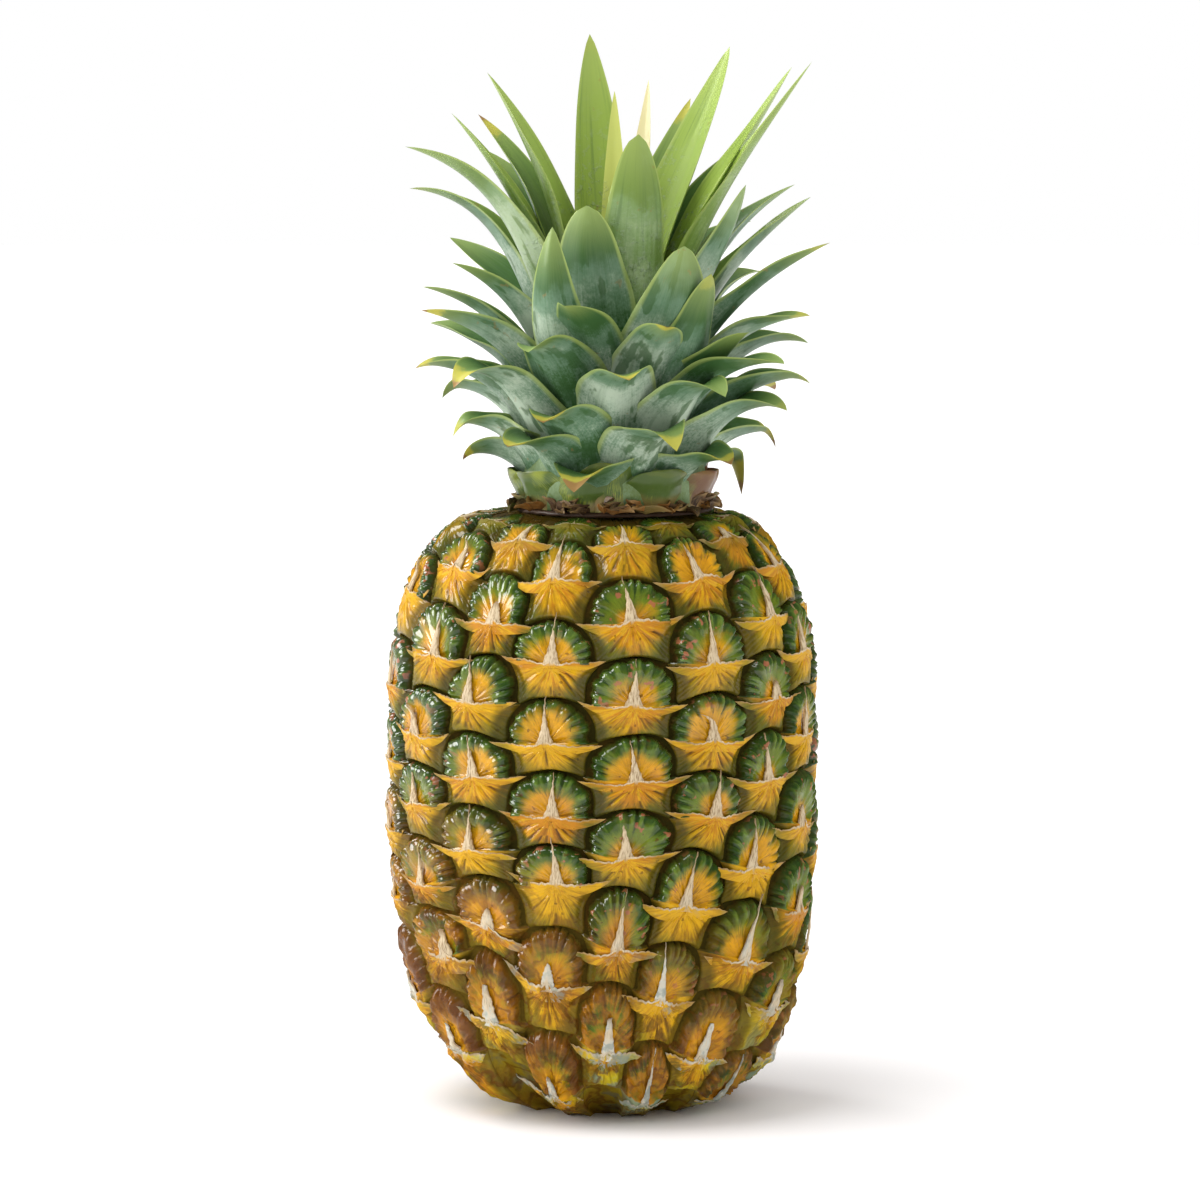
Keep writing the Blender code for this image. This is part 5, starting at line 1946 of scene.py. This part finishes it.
    def placed(self) -> list[Leaf]:
        """The upper leaves that were placed one by one.

        Returns:
            The leaves.
        """
        leaves = []
        for number, leaf in enumerate(self.upper):
            turn, reach, height, root_height, width, root_rise, tip_rise, blunt = leaf
            root = (max(self.stem_radius(root_height) - self.root_depth, 0.0), root_height)
            level = self.pale_level if width < self.pale_width else smooth(height / self.full_height)
            leaves.append(Leaf(turn, root, (reach, height), root_rise, tip_rise, width, blunt, level,
                               twist=6.0 * wander(number, 17), dryness=0.22 + 0.2 * wander(number, 18)))
        return leaves

    def foot(self) -> list[Leaf]:
        """The short leaves that wrap the crown's foot.

        Returns:
            The leaves.
        """
        leaves = []
        for number in range(self.foot_leaves):
            turn = 360.0 * (number + 0.35 * wander(number, 61)) / self.foot_leaves
            reach, height = self.foot_tip
            tip = (reach + 0.0012 * wander(number, 62), height + 0.0030 * wander(number, 63))
            leaves.append(Leaf(
                turn, self.foot_root, tip, 88.0, 66.0 + 16.0 * wander(number, 64),
                self.foot_width + 0.0030 * wander(number, 65), 0.8, self.foot_level,
                sweep=8.0 * wander(number, 66), twist=8.0 * wander(number, 67),
                dryness=0.85 + 0.15 * wander(number, 68)))
        return leaves

    def build(self) -> list[Piece]:
        """Makes the crown's pieces.

        Returns:
            The stem and the leaves.
        """
        finish = LeafFinish("crown_leaf_skin").material()
        tree = LeafTree(self.axis, BladeShape().pattern("leaf_blade"), finish)
        grown = self.spiral() + self.placed() + self.foot()
        leaves = shade(tree.grow("crown_leaves", columns_of([leaf.row(k) for k, leaf in enumerate(grown)])))
        stem = turned_piece("crown_stem", self.stem, self.axis, self.stem_sides)
        dress(stem, finish, {"blade_place": (0.0, 0.05, -1.0), "leaf_lot": (0.5, 0.1, 0.2)})
        return [stem, leaves]


@dataclass
class Collar:
    """The ring of small dry bracts between the fruit's shoulder and the crown."""

    axis: Vector
    ring: Rings = ((0.0262, 0.0004), (0.0272, 0.0001), (0.0269, 0.0009), (0.0264, 0.0014))
    ring_sides: int = 96
    ring_unevenness: float = 0.0004
    rows: tuple[tuple[int, float, float, float], ...] = (
        (26, 0.0262, 0.0036, 62.0), (24, 0.0266, 0.0036, 25.0), (20, 0.0268, 0.0036, -8.0))

    def bracts(self) -> list[Leaf]:
        """The small bracts, row by row from the inside.

        Returns:
            The bracts as short leaves.
        """
        leaves = []
        for row, (count, radius, length, rise) in enumerate(self.rows):
            for number in range(count):
                turn = 360.0 * (number + 0.5 * row + 0.4 * wander(number, row, 71)) / count
                long = length * (1.0 + 0.35 * wander(number, row, 72))
                tilt = math.radians(rise + 16.0 * wander(number, row, 73))
                tip = (radius + long * math.cos(tilt), 0.0012 + long * math.sin(tilt))
                leaves.append(Leaf(
                    turn, (radius - 0.0012, 0.0007), tip, rise + 30.0, rise - 25.0,
                    0.0048 + 0.0014 * wander(number, row, 74), 0.3, level=0.0,
                    sweep=14.0 * wander(number, row, 75), twist=30.0 * wander(number, row, 76),
                    dryness=0.6 + 0.4 * wander(number, row, 77)))
        return leaves

    def build(self) -> list[Piece]:
        """Makes the collar's pieces.

        Returns:
            The bracts and the ring that they stand on.
        """
        finish = BractFinish().material()
        tree = LeafTree(self.axis, BladeShape(10, 5).pattern("bract_blade"), finish, (0.0010, 0.0004),
                        (0.30, 0.30), 0.12)
        columns = columns_of([bract.row(number) for number, bract in enumerate(self.bracts())])
        bracts = shade(tree.grow("collar_bracts", columns))
        # The ring takes the bracts' root colour: a dark band of painted shade under the collar.
        ring = turned_piece("collar_ring", self.ring, self.axis, self.ring_sides, True, self.ring_unevenness)
        dress(ring, finish, {"blade_place": (0.0, 0.1, 1.0), "leaf_lot": (0.1, 0.0, 0.2)})
        return [bracts, ring]


@dataclass
class Studio:
    """The pale floor, the soft lights and the camera at the photo's angle."""

    target: Vector = field(default_factory=lambda: Vector((-0.0025, 0.0, 0.1399)))
    distance: float = 1.5
    elevation: float = 6.0
    view_width: float = 0.3318
    sensor: float = 36.0
    horizon: float = 0.30
    zenith: float = 1.00
    left_glow: float = 3.1
    front_glow: float = 0.34
    right_glow: float = 1.0
    reflection_dimming: float = 0.75
    lamp_towards: tuple[float, float, float] = (-0.93, -0.08, 0.36)
    lamp_half_width: float = 20.0
    lamp_strength: float = 15.0

    def build(self) -> None:
        """Makes the floor, the lights, the world and the camera."""
        scene = bpy.context.scene
        scene.view_settings.view_transform = "Standard"
        self.floor()
        self.sun("key", (-0.62, -0.42, 2.30), 26.0, 1.20)
        self.sun("rim", (-0.8, 1.0, 0.9), 16.0, 0.60)
        world = bpy.data.worlds.new("studio")
        scene.world = world
        world.use_nodes = True
        tree = Tree(world.node_tree)
        paths = tree.node("ShaderNodeLightPath")
        seen = Term(tree, paths.outputs["Is Camera Ray"])
        mirrored = Term(tree, paths.outputs["Is Glossy Ray"])
        east, north, up = tree.split(tree.term("ShaderNodeTexCoord", None, None, "Generated"))
        glow = self.horizon + (self.zenith - self.horizon) * tree.rise(up, 0.05, 0.85)
        glow = glow + self.left_glow * tree.rise(east, -0.55, -0.95)
        glow = glow + self.right_glow * tree.rise(east, 0.55, 0.95)
        glow = glow + self.front_glow * tree.rise(north, -0.30, -0.90)
        back = tree.nodes.nodes["Background"]
        back.inputs["Color"].default_value = (1.0, 1.0, 1.0, 1.0)
        lamp_towards = tuple(Vector(self.lamp_towards).normalized())
        facing = tree.vector("DOT_PRODUCT", tree.join(east, north, up), lamp_towards, output=1)
        width = math.radians(self.lamp_half_width)
        lamp = tree.rise(facing, math.cos(width), math.cos(width * 0.6)) * self.lamp_strength
        glow = glow * (1.0 - self.reflection_dimming * mirrored) + lamp * mirrored
        tree.nodes.links.new((glow * (1.0 - seen) + seen).socket, back.inputs["Strength"])
        rise = math.radians(self.elevation)
        towards = Vector((0.0, -math.cos(rise), math.sin(rise)))
        lens = bpy.data.cameras.new("camera")
        lens.sensor_width = self.sensor
        lens.lens = self.sensor * self.distance / self.view_width
        lens.clip_start = 0.05
        camera = bpy.data.objects.new("camera", lens)
        camera.location = self.target + towards * self.distance
        camera.rotation_euler = (-towards).to_track_quat("-Z", "Y").to_euler()
        scene.collection.objects.link(camera)
        scene.camera = camera

    def floor(self) -> None:
        """Makes the floor."""
        work = bmesh.new()
        bmesh.ops.create_grid(work, x_segments=1, y_segments=1, size=6.0)
        mesh = bpy.data.meshes.new("floor")
        work.to_mesh(mesh)
        work.free()
        floor = bpy.data.objects.new("floor", mesh)
        tree = ShaderTree("pale_floor")
        tree.shader.inputs["Base Color"].default_value = (0.94, 0.925, 0.93, 1.0)
        tree.shader.inputs["Roughness"].default_value = 0.6
        mesh.materials.append(tree.material)
        bpy.context.scene.collection.objects.link(floor)

    def sun(self, name: str, towards: tuple[float, float, float], softness: float, power: float) -> None:
        """Adds a far, soft light.

        Args:
            name: Its name.
            towards: Where it comes from.
            softness: How wide it looks, in degrees.
            power: Its strength.
        """
        lamp = bpy.data.lights.new(name, "SUN")
        lamp.angle = math.radians(softness)
        lamp.energy = power
        holder = bpy.data.objects.new(name, lamp)
        holder.rotation_euler = (-Vector(towards)).to_track_quat("-Z", "Y").to_euler()
        bpy.context.scene.collection.objects.link(holder)


def attach(pieces: list[Piece], node: str) -> None:
    """Makes pieces stand for a node of the model and reports them.

    Args:
        pieces: The pieces.
        node: The node that they replace.
    """
    for piece in pieces:
        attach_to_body(piece, "root")
        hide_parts(node)
        triangles = sum(len(face.vertices) - 2 for face in piece.data.polygons)
        log.info("%s: %d triangles", piece.name, triangles)


def main() -> None:
    """Builds the pineapple's pieces and the studio."""
    form = FruitForm(height=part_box("fruit")[1][2])
    axis = Vector((0.0015, 0.0, form.height))
    outline = form.outline()
    attach(Rind(form).build(outline), "fruit")
    attach([Spines(form).build(outline)], "fruit")
    attach(Crown(axis).build(), "crown")
    attach(Collar(axis).build(), "collar")
    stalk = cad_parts["stalk"]
    stalk.data.materials.clear()
    stalk.data.materials.append(StalkFinish().material())
    Studio().build()


if __name__ == "__main__":
    main()
